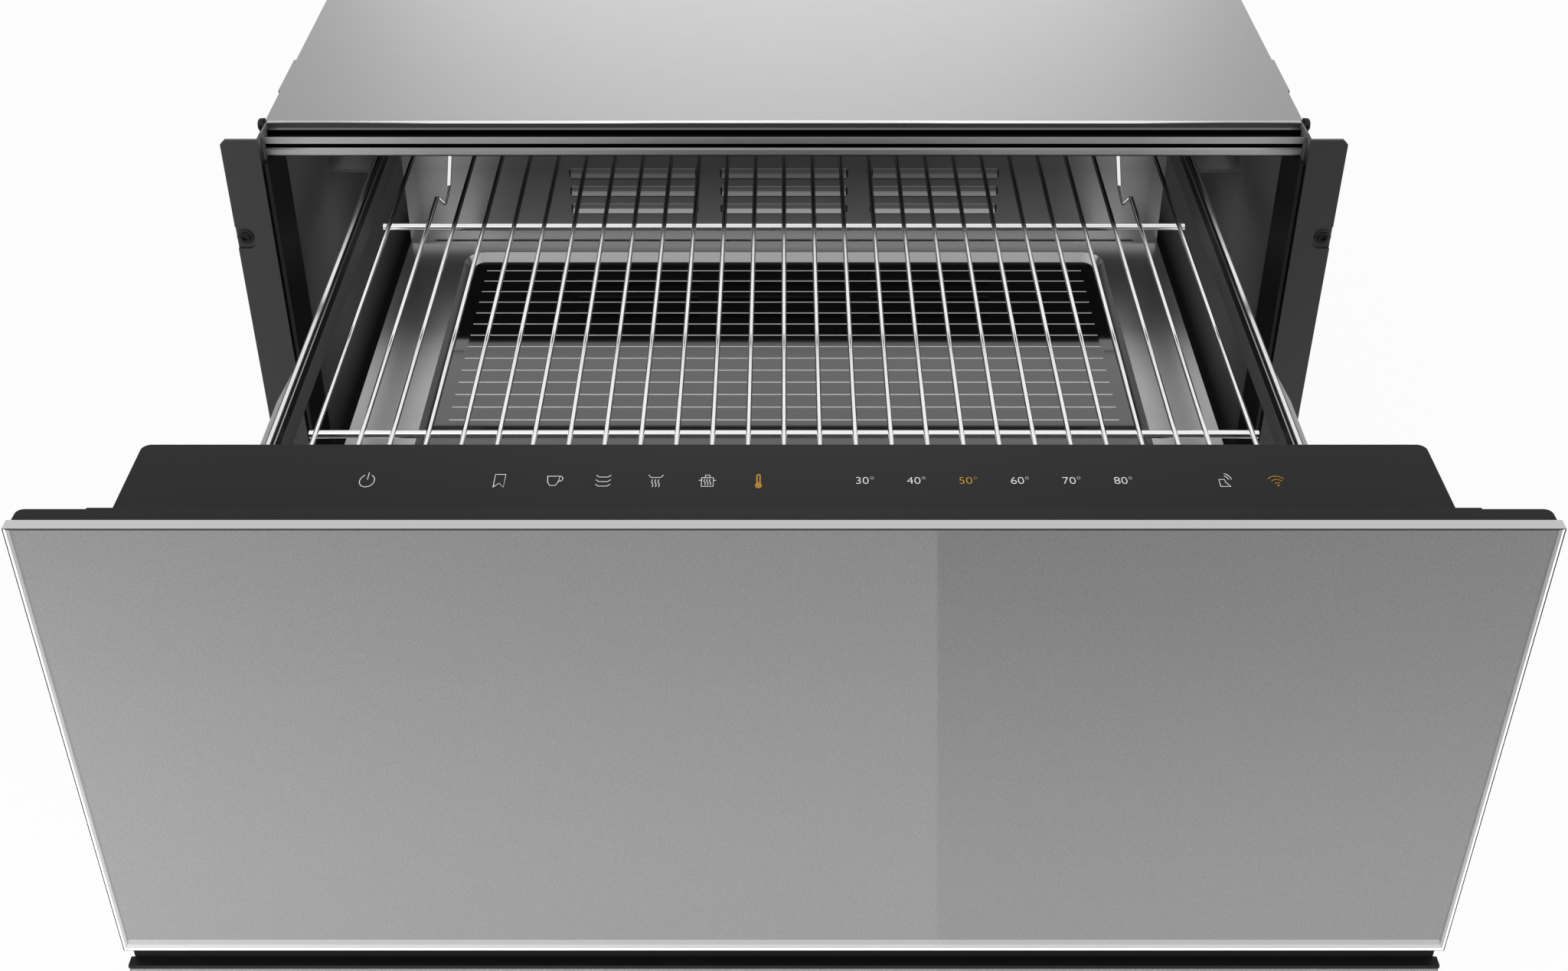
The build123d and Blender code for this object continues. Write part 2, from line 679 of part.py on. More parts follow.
with BuildPart() as control_panel:
    panel_z = (panel_bottom, panel_top)
    block((-control_half, control_half), (door_back_y, control_back_y), panel_z)
    upright_edges = control_panel.edges().filter_by(Axis.Z).group_by(Axis.Y)[-1]
    fillet(upright_edges, CONTROL_ROUND)

control_panel.part.label = "control_panel"
export_step(control_panel.part, "parts/control_panel.step")

with BuildPart() as control_board:
    with BuildSketch(Plane.XY.offset(board_bottom)):
        with Locations((0, board_mid_y)):
            RectangleRounded(BOARD_WIDTH, BOARD_DEPTH, POST_INSET / 2)
    extrude(amount=BOARD_THICKNESS)

control_board.part.label = "control_board"
export_step(control_board.part, "parts/control_board.step")

# ---- Tray and heating ------------------------------------------------------
with BuildPart() as base_tray:
    floor_bottom = floor_top - SHEET
    support_bottom = support_top - SHEET
    block((-tray_half, tray_half), (tray_front_y, tray_back_y), (floor_bottom, floor_top))
    block(
        (-recess_x - SHEET, recess_x + SHEET),
        (recess_front_y - SHEET, recess_back_y + SHEET),
        (support_bottom, floor_bottom),
    )
    for side, sign in SIDES:
        block(
            across(sign, tray_half - SHEET, tray_half),
            (tray_front_y, tray_back_y),
            (pan_bottom, floor_bottom),
        )
    wall_y = (tray_front_y - SHEET, tray_front_y)
    block((-tray_half, tray_half), wall_y, (pan_bottom, rail_bottom))
    block((-rail_inner_x, rail_inner_x), wall_y, (rail_bottom, control_bottom))
    block(
        (-tray_half + LEDGE_REACH, tray_half - LEDGE_REACH),
        (tray_front_y, tray_front_y + LEDGE_REACH),
        (rest_z - SHEET, rest_z),
    )
    with BuildSketch(Plane.XY.offset(floor_top)):
        with Locations((0, recess_mid_y)):
            RectangleRounded(2 * recess_x, recess_length, RECESS_ROUND)
    extrude(amount=-RECESS_DEPTH, taper=RECESS_TAPER, mode=Mode.SUBTRACT)
    with BuildSketch(Plane.XY.offset(support_bottom)):
        with Locations((0, recess_mid_y)):
            Rectangle(2 * (plate_half - PLATE_SUPPORT), plate_length - 2 * PLATE_SUPPORT)
    extrude(amount=SHEET, mode=Mode.SUBTRACT)

base_tray.part.label = "base_tray"
export_step(base_tray.part, "parts/base_tray.step")

with BuildPart() as plate_seal:
    with BuildSketch(Plane.XY.offset(support_top)):
        with Locations((0, recess_mid_y)):
            RectangleRounded(2 * plate_half, plate_length, plate_round)
            inner_size = (2 * (plate_half - SEAL_WIDTH), plate_length - 2 * SEAL_WIDTH)
            Rectangle(*inner_size, mode=Mode.SUBTRACT)
    extrude(amount=SEAL_THICKNESS)

plate_seal.part.label = "plate_seal"
export_step(plate_seal.part, "parts/plate_seal.step")

with BuildPart() as glass_plate:
    with BuildSketch(Plane.XY.offset(plate_bottom)):
        with Locations((0, recess_mid_y)):
            RectangleRounded(2 * plate_half, plate_length, plate_round)
    extrude(amount=PLATE_THICKNESS)

glass_plate.part.label = "glass_ceramic_plate"
export_step(glass_plate.part, "parts/glass_ceramic_plate.step")

with BuildPart() as heating_element:
    run_half = plate_half - HEATER_MARGIN
    first_x = -HEATER_PITCH * (HEATER_RUNS - 1) / 2
    near_y = recess_mid_y - plate_length / 2 + HEATER_MARGIN
    far_y = recess_mid_y + plate_length / 2 - HEATER_MARGIN
    corners = []
    for run in range(HEATER_RUNS):
        run_x = first_x + run * HEATER_PITCH
        ends = (near_y, far_y) if run % 2 == 0 else (far_y, near_y)
        corners.extend((run_x, end_y) for end_y in ends)
    with BuildSketch(Plane.XY.offset(plate_bottom)):
        with BuildLine():
            Polyline(*corners)
        trace(line_width=HEATER_STRIP)
    extrude(amount=-HEATER_THICKNESS)

heating_element.part.label = "heating_element"
export_step(heating_element.part, "parts/heating_element.step")

with BuildPart() as temperature_sensor:
    with BuildSketch(Plane.XY.offset(plate_bottom)):
        with Locations((HEATER_PITCH / 2, recess_mid_y)):
            Circle(SENSOR_RADIUS)
    extrude(amount=-SENSOR_HEIGHT)

temperature_sensor.part.label = "temperature_sensor"
export_step(temperature_sensor.part, "parts/temperature_sensor.step")

shield_top = pan_bottom + SHEET
with BuildPart() as heat_shield:
    block(
        (-tray_half + SHEET, tray_half - SHEET),
        (tray_front_y, tray_back_y),
        (pan_bottom, shield_top),
    )

heat_shield.part.label = "heat_shield"
export_step(heat_shield.part, "parts/heat_shield.step")

with BuildPart() as insulation_mat:
    block(
        (-tray_half + SHEET + MAT_CLEARANCE, tray_half - SHEET - MAT_CLEARANCE),
        (tray_front_y + MAT_CLEARANCE, tray_back_y - MAT_CLEARANCE),
        (shield_top, shield_top + MAT_THICKNESS),
    )

insulation_mat.part.label = "insulation_mat"
export_step(insulation_mat.part, "parts/insulation_mat.step")

# ---- Back of the drawer and its fan ----------------------------------------
back_top = front_top - BACK_TOP_DROP
louvre_z = front_top - LOUVRE_DROP
panel_back_y = tray_back_y + SHEET

with BuildPart() as rear_panel:
    block((-tray_half, tray_half), (tray_back_y, panel_back_y), (pan_bottom, back_top))
    for side, sign in SIDES:
        block(
            across(sign, tray_half - EAR_WIDTH, tray_half),
            (tray_back_y, panel_back_y),
            (back_top, rail_top),
        )
        block(
            across(sign, tray_half - LEDGE_REACH - REST_TAB, tray_half - LEDGE_REACH),
            (tray_back_y - LEDGE_REACH, tray_back_y),
            (rest_z - SHEET, rest_z),
        )
    with BuildSketch(Plane.XZ.offset(-panel_back_y)):
        with Locations((0, louvre_z)):
            with GridLocations(LOUVRE_PITCH_X, LOUVRE_PITCH_Z, 3, 3):
                Rectangle(LOUVRE_LENGTH, LOUVRE_HEIGHT)
    extrude(amount=SHEET, mode=Mode.SUBTRACT)
    hood_half = LOUVRE_LENGTH / 2 - LOUVRE_END
    for column in (-1, 0, 1):
        with BuildSketch(Plane.YZ.offset(column * LOUVRE_PITCH_X - hood_half)):
            for row in (-1, 0, 1):
                slot_top = louvre_z + row * LOUVRE_PITCH_Z + LOUVRE_HEIGHT / 2
                lip_y = tray_back_y - LOUVRE_REACH
                lip_z = slot_top - LOUVRE_HEIGHT
                with BuildLine():
                    Polyline(
                        (tray_back_y, slot_top),
                        (lip_y, lip_z),
                        (lip_y, lip_z + LOUVRE_SHEET),
                        (tray_back_y, slot_top + LOUVRE_SHEET),
                        close=True,
                    )
                make_face()
        extrude(amount=2 * hood_half)

rear_panel.part.label = "rear_panel"
export_step(rear_panel.part, "parts/rear_panel.step")

fan_box_half = FAN_BOX_WIDTH / 2
fan_box_z = (louvre_z - FAN_BOX_HEIGHT / 2, louvre_z + FAN_BOX_HEIGHT / 2)
fan_box_back_y = panel_back_y + FAN_BOX_DEPTH
with BuildPart() as fan_cover:
    block((-fan_box_half, fan_box_half), (panel_back_y, fan_box_back_y), fan_box_z)
    block(
        (-fan_box_half + SHEET, fan_box_half - SHEET),
        (panel_back_y, fan_box_back_y - SHEET),
        (fan_box_z[0] + SHEET, fan_box_z[1] - SHEET),
        Mode.SUBTRACT,
    )
    window_y = (panel_back_y + fan_box_back_y) / 2
    block(
        (-fan_box_half, fan_box_half),
        (window_y - FAN_WINDOW / 2, window_y + FAN_WINDOW / 2),
        (louvre_z - FAN_WINDOW, louvre_z + FAN_WINDOW),
        Mode.SUBTRACT,
    )

fan_cover.part.label = "fan_cover"
export_step(fan_cover.part, "parts/fan_cover.step")

motor_back_y = fan_box_back_y - SHEET
motor_front_y = motor_back_y - MOTOR_HEIGHT
wheel_back_y = motor_front_y - FAN_RUN_GAP
wheel_front_y = wheel_back_y - FAN_HEIGHT
with BuildPart() as fan_motor:
    rod_y(0, louvre_z, MOTOR_RADIUS, (motor_front_y, motor_back_y))
    rod_y(0, louvre_z, FAN_SHAFT_RADIUS, (wheel_front_y, motor_front_y))

fan_motor.part.label = "fan_motor"
export_step(fan_motor.part, "parts/fan_motor.step")

with BuildPart() as fan_wheel:
    rod_y(0, louvre_z, FAN_RADIUS, (wheel_back_y - FAN_DISC, wheel_back_y))
    rod_y(0, louvre_z, FAN_HUB_RADIUS, (wheel_front_y, wheel_back_y))
    with BuildSketch(Plane.XZ.offset(-wheel_back_y)):
        with Locations((0, louvre_z)):
            blade_ring = FAN_RADIUS - FAN_BLADE_LENGTH / 2
            with PolarLocations(blade_ring, FAN_BLADES):
                Rectangle(FAN_BLADE_LENGTH, FAN_BLADE_THICKNESS, rotation=FAN_BLADE_TILT)
    extrude(amount=FAN_HEIGHT)
    shaft_hole = FAN_SHAFT_RADIUS + FAN_SHAFT_GAP
    rod_y(0, louvre_z, shaft_hole, (wheel_front_y, wheel_back_y), Mode.SUBTRACT)

fan_wheel.part.label = "fan_wheel"
export_step(fan_wheel.part, "parts/fan_wheel.step")

# ---- Wire rack -------------------------------------------------------------
wire_front_y = tray_front_y + RACK_END_GAP
wire_back_y = tray_back_y - RACK_BACK_GAP
rod_z = wire_z - WIRE_RADIUS + ROD_WELD - ROD_RADIUS
rod_places = (wire_front_y + ROD_FRONT_INSET, wire_back_y - ROD_BACK_INSET)

edge_wire_x = tray_half - EDGE_WIRE_INSET
stop_wire_x = tray_half - STOP_WIRE_INSET
wire_pitch = (stop_wire_x - STOP_WIRE_SPACE) / WIRE_PAIRS
rod_half = edge_wire_x + ROD_OVERHANG

with BuildPart() as wire_rack:
    wire_places = [pair * wire_pitch for pair in range(-WIRE_PAIRS, WIRE_PAIRS + 1)]
    wire_places = [-edge_wire_x, *wire_places, edge_wire_x]
    with BuildSketch(Plane.XZ.offset(-wire_back_y)):
        with Locations(*[(wire_x, wire_z) for wire_x in wire_places]):
            Circle(WIRE_RADIUS)
    extrude(amount=wire_back_y - wire_front_y)
    with BuildSketch(Plane.YZ.offset(-rod_half)):
        with Locations(*[(rod_place, rod_z) for rod_place in rod_places]):
            Circle(ROD_RADIUS)
    extrude(amount=2 * rod_half)

wire_rack.part.label = "wire_rack"
export_step(wire_rack.part, "parts/wire_rack.step")

with BuildPart() as rack_back_stop:
    kink_y = wire_back_y - KINK_INSET
    foot_z = wire_z - KINK_DOWN
    foot_y = kink_y + KINK_RUN
    rise_y = foot_y + STOP_FOOT
    top_y = rise_y + STOP_LEAN
    top_z = foot_z + STOP_RISE
    stop_half = stop_wire_x - KINK_IN
    for side, sign in SIDES:
        with BuildLine() as stop_path:
            FilletPolyline(
                (sign * stop_wire_x, wire_front_y, wire_z),
                (sign * stop_wire_x, kink_y, wire_z),
                (sign * stop_half, foot_y, foot_z),
                (sign * stop_half, rise_y, foot_z),
                (sign * stop_half, top_y, top_z),
                radius=[KINK_BEND, KINK_BEND, STOP_BEND],
            )
        with BuildSketch(Plane.XZ.offset(-wire_front_y)):
            with Locations((sign * stop_wire_x, wire_z)):
                Circle(WIRE_RADIUS)
        sweep(path=stop_path.wires()[0])
    with BuildSketch(Plane.YZ.offset(-stop_half - WIRE_RADIUS)):
        with Locations((top_y, top_z)):
            Circle(WIRE_RADIUS)
    extrude(amount=2 * (stop_half + WIRE_RADIUS))

rack_back_stop.part.label = "rack_back_stop"
export_step(rack_back_stop.part, "parts/rack_back_stop.step")

# ---- Push latch ------------------------------------------------------------
latch_z = pan_bottom + LATCH_RISE
latch_back_y = back_y - SHEET
latch_front_y = latch_back_y - LATCH_LENGTH
plunger_tip_y = panel_back_y + OPEN_TRAVEL + REST_GAP
plunger_end_y = latch_front_y + PLUNGER_INSIDE

with BuildPart() as latch_body:
    block(
        (-LATCH_WIDTH / 2, LATCH_WIDTH / 2),
        (latch_front_y, latch_back_y),
        (latch_z - LATCH_HEIGHT / 2, latch_z + LATCH_HEIGHT / 2),
    )
    bore_span = (latch_front_y, plunger_end_y + PLUNGER_SPARE)
    rod_y(0, latch_z, PLUNGER_RADIUS + PLUNGER_FIT, bore_span, Mode.SUBTRACT)

latch_body.part.label = "push_latch_body"
export_step(latch_body.part, "parts/push_latch_body.step")

with BuildPart() as latch_plunger:
    rod_y(0, latch_z, PLUNGER_HEAD_RADIUS, (plunger_tip_y, plunger_tip_y + PLUNGER_HEAD))
    rod_y(0, latch_z, PLUNGER_RADIUS, (plunger_tip_y + PLUNGER_HEAD, plunger_end_y))

latch_plunger.part.label = "push_latch_plunger"
export_step(latch_plunger.part, "parts/push_latch_plunger.step")

# ---- Mains inlet -----------------------------------------------------------
with BuildPart() as terminal_box:
    block(
        (inlet_x - INLET_WIDTH / 2, inlet_x + INLET_WIDTH / 2),
        (back_y - SHEET - INLET_DEPTH, back_y - SHEET),
        (INLET_Z - INLET_HEIGHT / 2, INLET_Z + INLET_HEIGHT / 2),
    )
    fillet(terminal_box.edges().filter_by(Axis.Y), BRACKET_SHEET)

terminal_box.part.label = "terminal_box"
export_step(terminal_box.part, "parts/terminal_box.step")

with BuildPart() as cable_gland:
    rod_y(inlet_x, INLET_Z, GLAND_RADIUS, (back_y - SHEET, back_y + GLAND_REACH))
    with BuildSketch(Plane.XZ.offset(-back_y - GLAND_FLANGE)):
        with Locations((inlet_x, INLET_Z)):
            RegularPolygon(GLAND_FLANGE_RADIUS, 6)
    extrude(amount=GLAND_FLANGE)
    rod_y(inlet_x, INLET_Z, GLAND_BORE, (back_y - SHEET, back_y + GLAND_REACH), Mode.SUBTRACT)

cable_gland.part.label = "cable_gland"
export_step(cable_gland.part, "parts/cable_gland.step")
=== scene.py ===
"""Looks of a built-in warming drawer, dressed around its packed construction.

Every length is in metres, in the construction's own frame: X runs right, Y back and Z up.
"""

import logging
import math
from dataclasses import dataclass, field, replace
from enum import Enum
from typing import Any, Iterable, Mapping, Sequence

import bmesh
import bpy
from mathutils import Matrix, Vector


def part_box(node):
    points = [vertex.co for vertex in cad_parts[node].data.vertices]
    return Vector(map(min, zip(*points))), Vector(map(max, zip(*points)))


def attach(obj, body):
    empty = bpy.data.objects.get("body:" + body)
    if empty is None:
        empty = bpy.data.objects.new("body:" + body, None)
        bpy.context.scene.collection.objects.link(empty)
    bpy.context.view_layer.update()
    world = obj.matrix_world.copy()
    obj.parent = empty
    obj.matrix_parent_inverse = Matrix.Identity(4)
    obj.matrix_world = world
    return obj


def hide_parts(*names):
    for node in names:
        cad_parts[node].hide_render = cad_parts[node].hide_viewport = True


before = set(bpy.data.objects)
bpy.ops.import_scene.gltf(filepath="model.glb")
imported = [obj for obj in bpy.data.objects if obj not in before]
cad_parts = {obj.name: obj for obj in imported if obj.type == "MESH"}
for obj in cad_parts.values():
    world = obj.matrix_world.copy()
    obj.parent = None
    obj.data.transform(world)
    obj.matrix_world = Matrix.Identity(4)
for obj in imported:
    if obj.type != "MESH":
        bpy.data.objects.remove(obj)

LOG = logging.getLogger("warming_drawer")
MM = 0.001
SIDES = {"left": -1, "right": 1}

Point = tuple[float, float, float]
Flat = tuple[float, float]
Colour = tuple[float, float, float, float]
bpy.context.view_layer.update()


# ---- Colour and node helpers -------------------------------------------------


def linear(hex_colour: str, share: float = 1.0) -> Colour:
    """Turn an sRGB hex colour into Blender's linear one.

    Args:
        hex_colour: six hex digits after a hash.
        share: how much lighter or darker to make it.

    Returns:
        Red, green, blue and an alpha of one.
    """
    values = [int(hex_colour[place : place + 2], 16) / 255 for place in (1, 3, 5)]
    curved = [v / 12.92 if v <= 0.04045 else ((v + 0.055) / 1.055) ** 2.4 for v in values]
    red, green, blue = (min(1.0, value * share) for value in curved)
    return (red, green, blue, 1.0)


def add_node(
    tree: bpy.types.NodeTree,
    kind: str,
    settings: dict[str | int, Any] | None = None,
    links: dict[str | int, bpy.types.NodeSocket] | None = None,
) -> bpy.types.Node:
    """Add one node with its settings and its incoming links.

    Args:
        tree: the node tree that gets the node.
        kind: Blender's name for the type of node.
        settings: values by property or input name; a property is tried first.
        links: outputs of other nodes, by the name or number of the input they feed.

    Returns:
        The new node.
    """
    node = tree.nodes.new(kind)
    for name, value in (settings or {}).items():
        if isinstance(name, str) and hasattr(node, name):
            setattr(node, name, value)
        else:
            node.inputs[name].default_value = value
    for name, output in (links or {}).items():
        tree.links.new(output, node.inputs[name])
    return node


def new_material(name: str) -> tuple[bpy.types.Material, bpy.types.NodeTree, bpy.types.Node]:
    """Make an empty material with its output node.

    Args:
        name: the material's name.

    Returns:
        The material, its node tree and its output node.
    """
    material = bpy.data.materials.new(name)
    material.use_nodes = True
    tree = material.node_tree
    tree.nodes.clear()
    return material, tree, tree.nodes.new("ShaderNodeOutputMaterial")


# ---- Finishes ------------------------------------------------------------------


class Grain(Enum):
    """Direction that a metal's brushing runs in."""

    ALONG_X = (0.03, 1.0, 1.0)
    ALONG_Y = (1.0, 0.03, 1.0)
    NONE = (1.0, 1.0, 1.0)


@dataclass(frozen=True)
class Fade:
    """A share that changes from one place on a surface to another, or along a ray.

    Attributes:
        source: the axis that it follows, or the ray's number.
        start: where the change starts.
        end: where it ends.
        first: share before the start; a further fade starts from the last one's.
        last: share past the end.
        times: whether it multiplies what the fades before it give.
    """

    source: str
    start: float
    end: float
    first: float
    last: float
    times: bool = False

    def on_both_sides(self) -> tuple["Fade", "Fade"]:
        """Return the fade with its twin on the other side of the middle."""
        return replace(self, start=-self.start, end=-self.end), self


def follow(
    tree: bpy.types.NodeTree,
    sources: Mapping[str, bpy.types.NodeSocket],
    fades: Sequence[Fade],
    share: bpy.types.NodeSocket | None = None,
) -> bpy.types.NodeSocket | None:
    """Build the share that a run of fades gives.

    Args:
        tree: the material's node tree.
        sources: the numbers that the fades follow, by name.
        fades: the changes, of which each takes over from the one before it.
        share: a share that they start from.

    Returns:
        The share, or none where there are no fades and no start.
    """
    for fade in fades:
        settings = {"From Min": fade.start, "From Max": fade.end, "To Max": fade.last}
        links = {"Value": sources[fade.source]}
        if share is None or fade.times:
            settings["To Min"] = fade.first
        else:
            links["To Min"] = share
        result = add_node(tree, "ShaderNodeMapRange", settings, links).outputs["Result"]
        if fade.times:
            result = add_node(
                tree, "ShaderNodeMath", {"operation": "MULTIPLY"}, {0: share, 1: result}
            ).outputs[0]
        share = result
    return share


def faded(
    tree: bpy.types.NodeTree,
    place: bpy.types.NodeSocket,
    colour: bpy.types.NodeSocket,
    fades: Sequence[Fade],
) -> bpy.types.NodeSocket:
    """Lighten or darken a colour by its place on the surface, as painted light and shade.

    Args:
        tree: the material's node tree.
        place: the place on the surface.
        colour: the colour.
        fades: the changes over the surface.

    Returns:
        The changed colour.
    """
    if not fades:
        return colour
    axes = add_node(tree, "ShaderNodeSeparateXYZ", None, {"Vector": place}).outputs
    share = follow(tree, axes, fades)
    return add_node(
        tree, "ShaderNodeVectorMath", {"operation": "SCALE"}, {0: colour, "Scale": share}
    ).outputs["Vector"]


def grained(
    tree: bpy.types.NodeTree,
    place: bpy.types.NodeSocket,
    texture: dict[str, float],
    tones: tuple[Colour, Colour],
    roughness: Flat,
    relief: Flat,
) -> tuple[bpy.types.NodeSocket, dict[str, bpy.types.NodeSocket]]:
    """Lay a fine grain over a surface, in its tone, its roughness and its relief.

    Args:
        tree: the material's node tree.
        place: the place on the surface.
        texture: settings of the noise that draws the grain.
        tones: the two colours that it lies between.
        roughness: the least and the most roughness.
        relief: how much of the relief shows, and its height.

    Returns:
        The tone, and the shader's links for roughness and relief.
    """
    grain = add_node(tree, "ShaderNodeTexNoise", texture, {"Vector": place}).outputs["Fac"]
    colours = {"data_type": "RGBA", 6: tones[0], 7: tones[1]}
    tone = add_node(tree, "ShaderNodeMix", colours, {0: grain})
    span = {"To Min": roughness[0], "To Max": roughness[1]}
    rough = add_node(tree, "ShaderNodeMapRange", span, {"Value": grain})
    height = {"Strength": relief[0], "Distance": relief[1]}
    bump = add_node(tree, "ShaderNodeBump", height, {"Height": grain})
    return tone.outputs[2], {
        "Roughness": rough.outputs["Result"],
        "Normal": bump.outputs["Normal"],
    }


@dataclass(frozen=True)
class Metal:
    """A bare, plated or brushed metal.

    Attributes:
        name: the metal and how its surface was made.
        colour: sRGB colour of its reflection.
        roughness: mean roughness of the surface.
        grain: direction of the brushing.
        grain_mm: width of one brush line or blast pit, in millimetres.
        relief_mm: depth of that line, in millimetres.
        shade: share by which the grain darkens the colour.
        patch: share by which broad uneven patches darken it.
        metallic: how much of its light comes back as metal does, the rest being matt.
        fades: changes of its tone over the surface, which are painted light and shade.
    """

    name: str
    colour: str
    roughness: float
    grain: Grain = Grain.NONE
    grain_mm: float = 0.8
    relief_mm: float = 0.004
    shade: float = 0.06
    patch: float = 0.05
    metallic: float = 1.0
    fades: tuple[Fade, ...] = ()

    def build(self) -> bpy.types.Material:
        """Return the material of this metal."""
        material, tree, output = new_material(self.name)
        place = add_node(tree, "ShaderNodeTexCoord").outputs["Object"]
        brushed = add_node(
            tree, "ShaderNodeMapping", {"Scale": self.grain.value}, {"Vector": place}
        ).outputs["Vector"]
        tone, links = grained(
            tree,
            brushed,
            {"Scale": 1 / (self.grain_mm * MM), "Detail": 2.0, "Roughness": 0.6},
            (linear(self.colour, 1 - self.shade), linear(self.colour)),
            (self.roughness * 0.85, self.roughness * 1.15),
            (0.35, self.relief_mm * MM),
        )
        # Patches are about a hand across.
        broad = add_node(
            tree, "ShaderNodeTexNoise", {"Scale": 9.0, "Detail": 2.0}, {"Vector": place}
        ).outputs["Fac"]
        dull = {"data_type": "RGBA", 7: linear(self.colour, 1 - self.patch)}
        patched = add_node(tree, "ShaderNodeMix", dull, {0: broad, 6: tone}).outputs[2]
        links["Base Color"] = faded(tree, place, patched, self.fades)
        shader = add_node(tree, "ShaderNodeBsdfPrincipled", {"Metallic": self.metallic}, links)
        tree.links.new(shader.outputs["BSDF"], output.inputs["Surface"])
        return material


@dataclass(frozen=True)
class Coating:
    """A paint, a moulded plastic, a rubber or a print.

    Attributes:
        name: the stuff and how its surface was made.
        colour: sRGB colour.
        roughness: mean roughness.
        texture_mm: size of the surface's grain, in millimetres.
        relief_mm: height of that grain, in millimetres.
        variation: share by which the grain lightens and darkens the colour.
        ior: index of refraction.
        glow: how strongly it shines by itself: a lamp behind the lit amber print, painted light
            on the white prints.
        fades: changes of its tone over the surface, which are painted light and shade.
    """

    name: str
    colour: str
    roughness: float
    texture_mm: float = 0.6
    relief_mm: float = 0.02
    variation: float = 0.12
    ior: float = 1.5
    glow: float = 0.0
    fades: tuple[Fade, ...] = ()

    def build(self) -> bpy.types.Material:
        """Return the material of this coating."""
        material, tree, output = new_material(self.name)
        place = add_node(tree, "ShaderNodeTexCoord").outputs["Object"]
        tone, links = grained(
            tree,
            place,
            {"Scale": 1 / (self.texture_mm * MM), "Detail": 3.0},
            (linear(self.colour, 1 - self.variation), linear(self.colour, 1 + self.variation)),
            (self.roughness * 0.9, min(1.0, self.roughness * 1.1)),
            (0.3, self.relief_mm * MM),
        )
        settings = {
            "IOR": self.ior,
            "Emission Strength": self.glow,
            "Emission Color": linear(self.colour),
        }
        links["Base Color"] = faded(tree, place, tone, self.fades)
        shader = add_node(tree, "ShaderNodeBsdfPrincipled", settings, links)
        tree.links.new(shader.outputs["BSDF"], output.inputs["Surface"])
        return material


@dataclass(frozen=True)
class SilverPrintedGlass:
    """Toughened glass with metallic silver printed on its back.

    The flakes' fine sparkle under a clear glossy face is a painted glint of lighter flakes.

    Attributes:
        name: the material's name.
        colour: sRGB colour of the metallic print.
        flake_mm: size of one flake, drawn as coarse as it needs to show.
        grain: share by which the print's fine grain lightens and darkens it.
        painted_glint: share by which a flake is lighter than the print, as a painted glint.
    """

    name: str = "glass_back_printed_silver"
    colour: str = "#707070"
    flake_mm: float = 0.4
    grain: float = 0.08
    painted_glint: float = 0.6

    def build(self) -> bpy.types.Material:
        """Return the material of the printed glass."""
        material, tree, output = new_material(self.name)
        place = add_node(tree, "ShaderNodeTexCoord").outputs["Object"]
        texture = {"Scale": 1 / (self.flake_mm * MM), "Detail": 0.0}
        flakes = add_node(tree, "ShaderNodeTexNoise", texture, {"Vector": place}).outputs["Fac"]
        low, high, bright = (
            linear(self.colour, share)
            for share in (1 - self.grain, 1 + self.grain, 1 + self.painted_glint)
        )
        grain = {"data_type": "RGBA", 6: low, 7: high}
        tone = add_node(tree, "ShaderNodeMix", grain, {0: flakes}).outputs[2]
        # Only the noise's highest peaks are flakes, painted lighter as a glint.
        lit = add_node(
            tree, "ShaderNodeMapRange", {"From Min": 0.66, "From Max": 0.74}, {"Value": flakes}
        ).outputs["Result"]
        painted_glint = {"data_type": "RGBA", 7: bright}
        tone = add_node(tree, "ShaderNodeMix", painted_glint, {0: lit, 6: tone}).outputs[2]
        settings = {
            "Metallic": 0.1,
            "Roughness": 0.5,
            "Specular IOR Level": 0.0,
            "Coat Weight": 1.0,
            "Coat Roughness": 0.03,
            "Coat IOR": 1.5,
        }
        shader = add_node(tree, "ShaderNodeBsdfPrincipled", settings, {"Base Color": tone})
        tree.links.new(shader.outputs["BSDF"], output.inputs["Surface"])
        return material


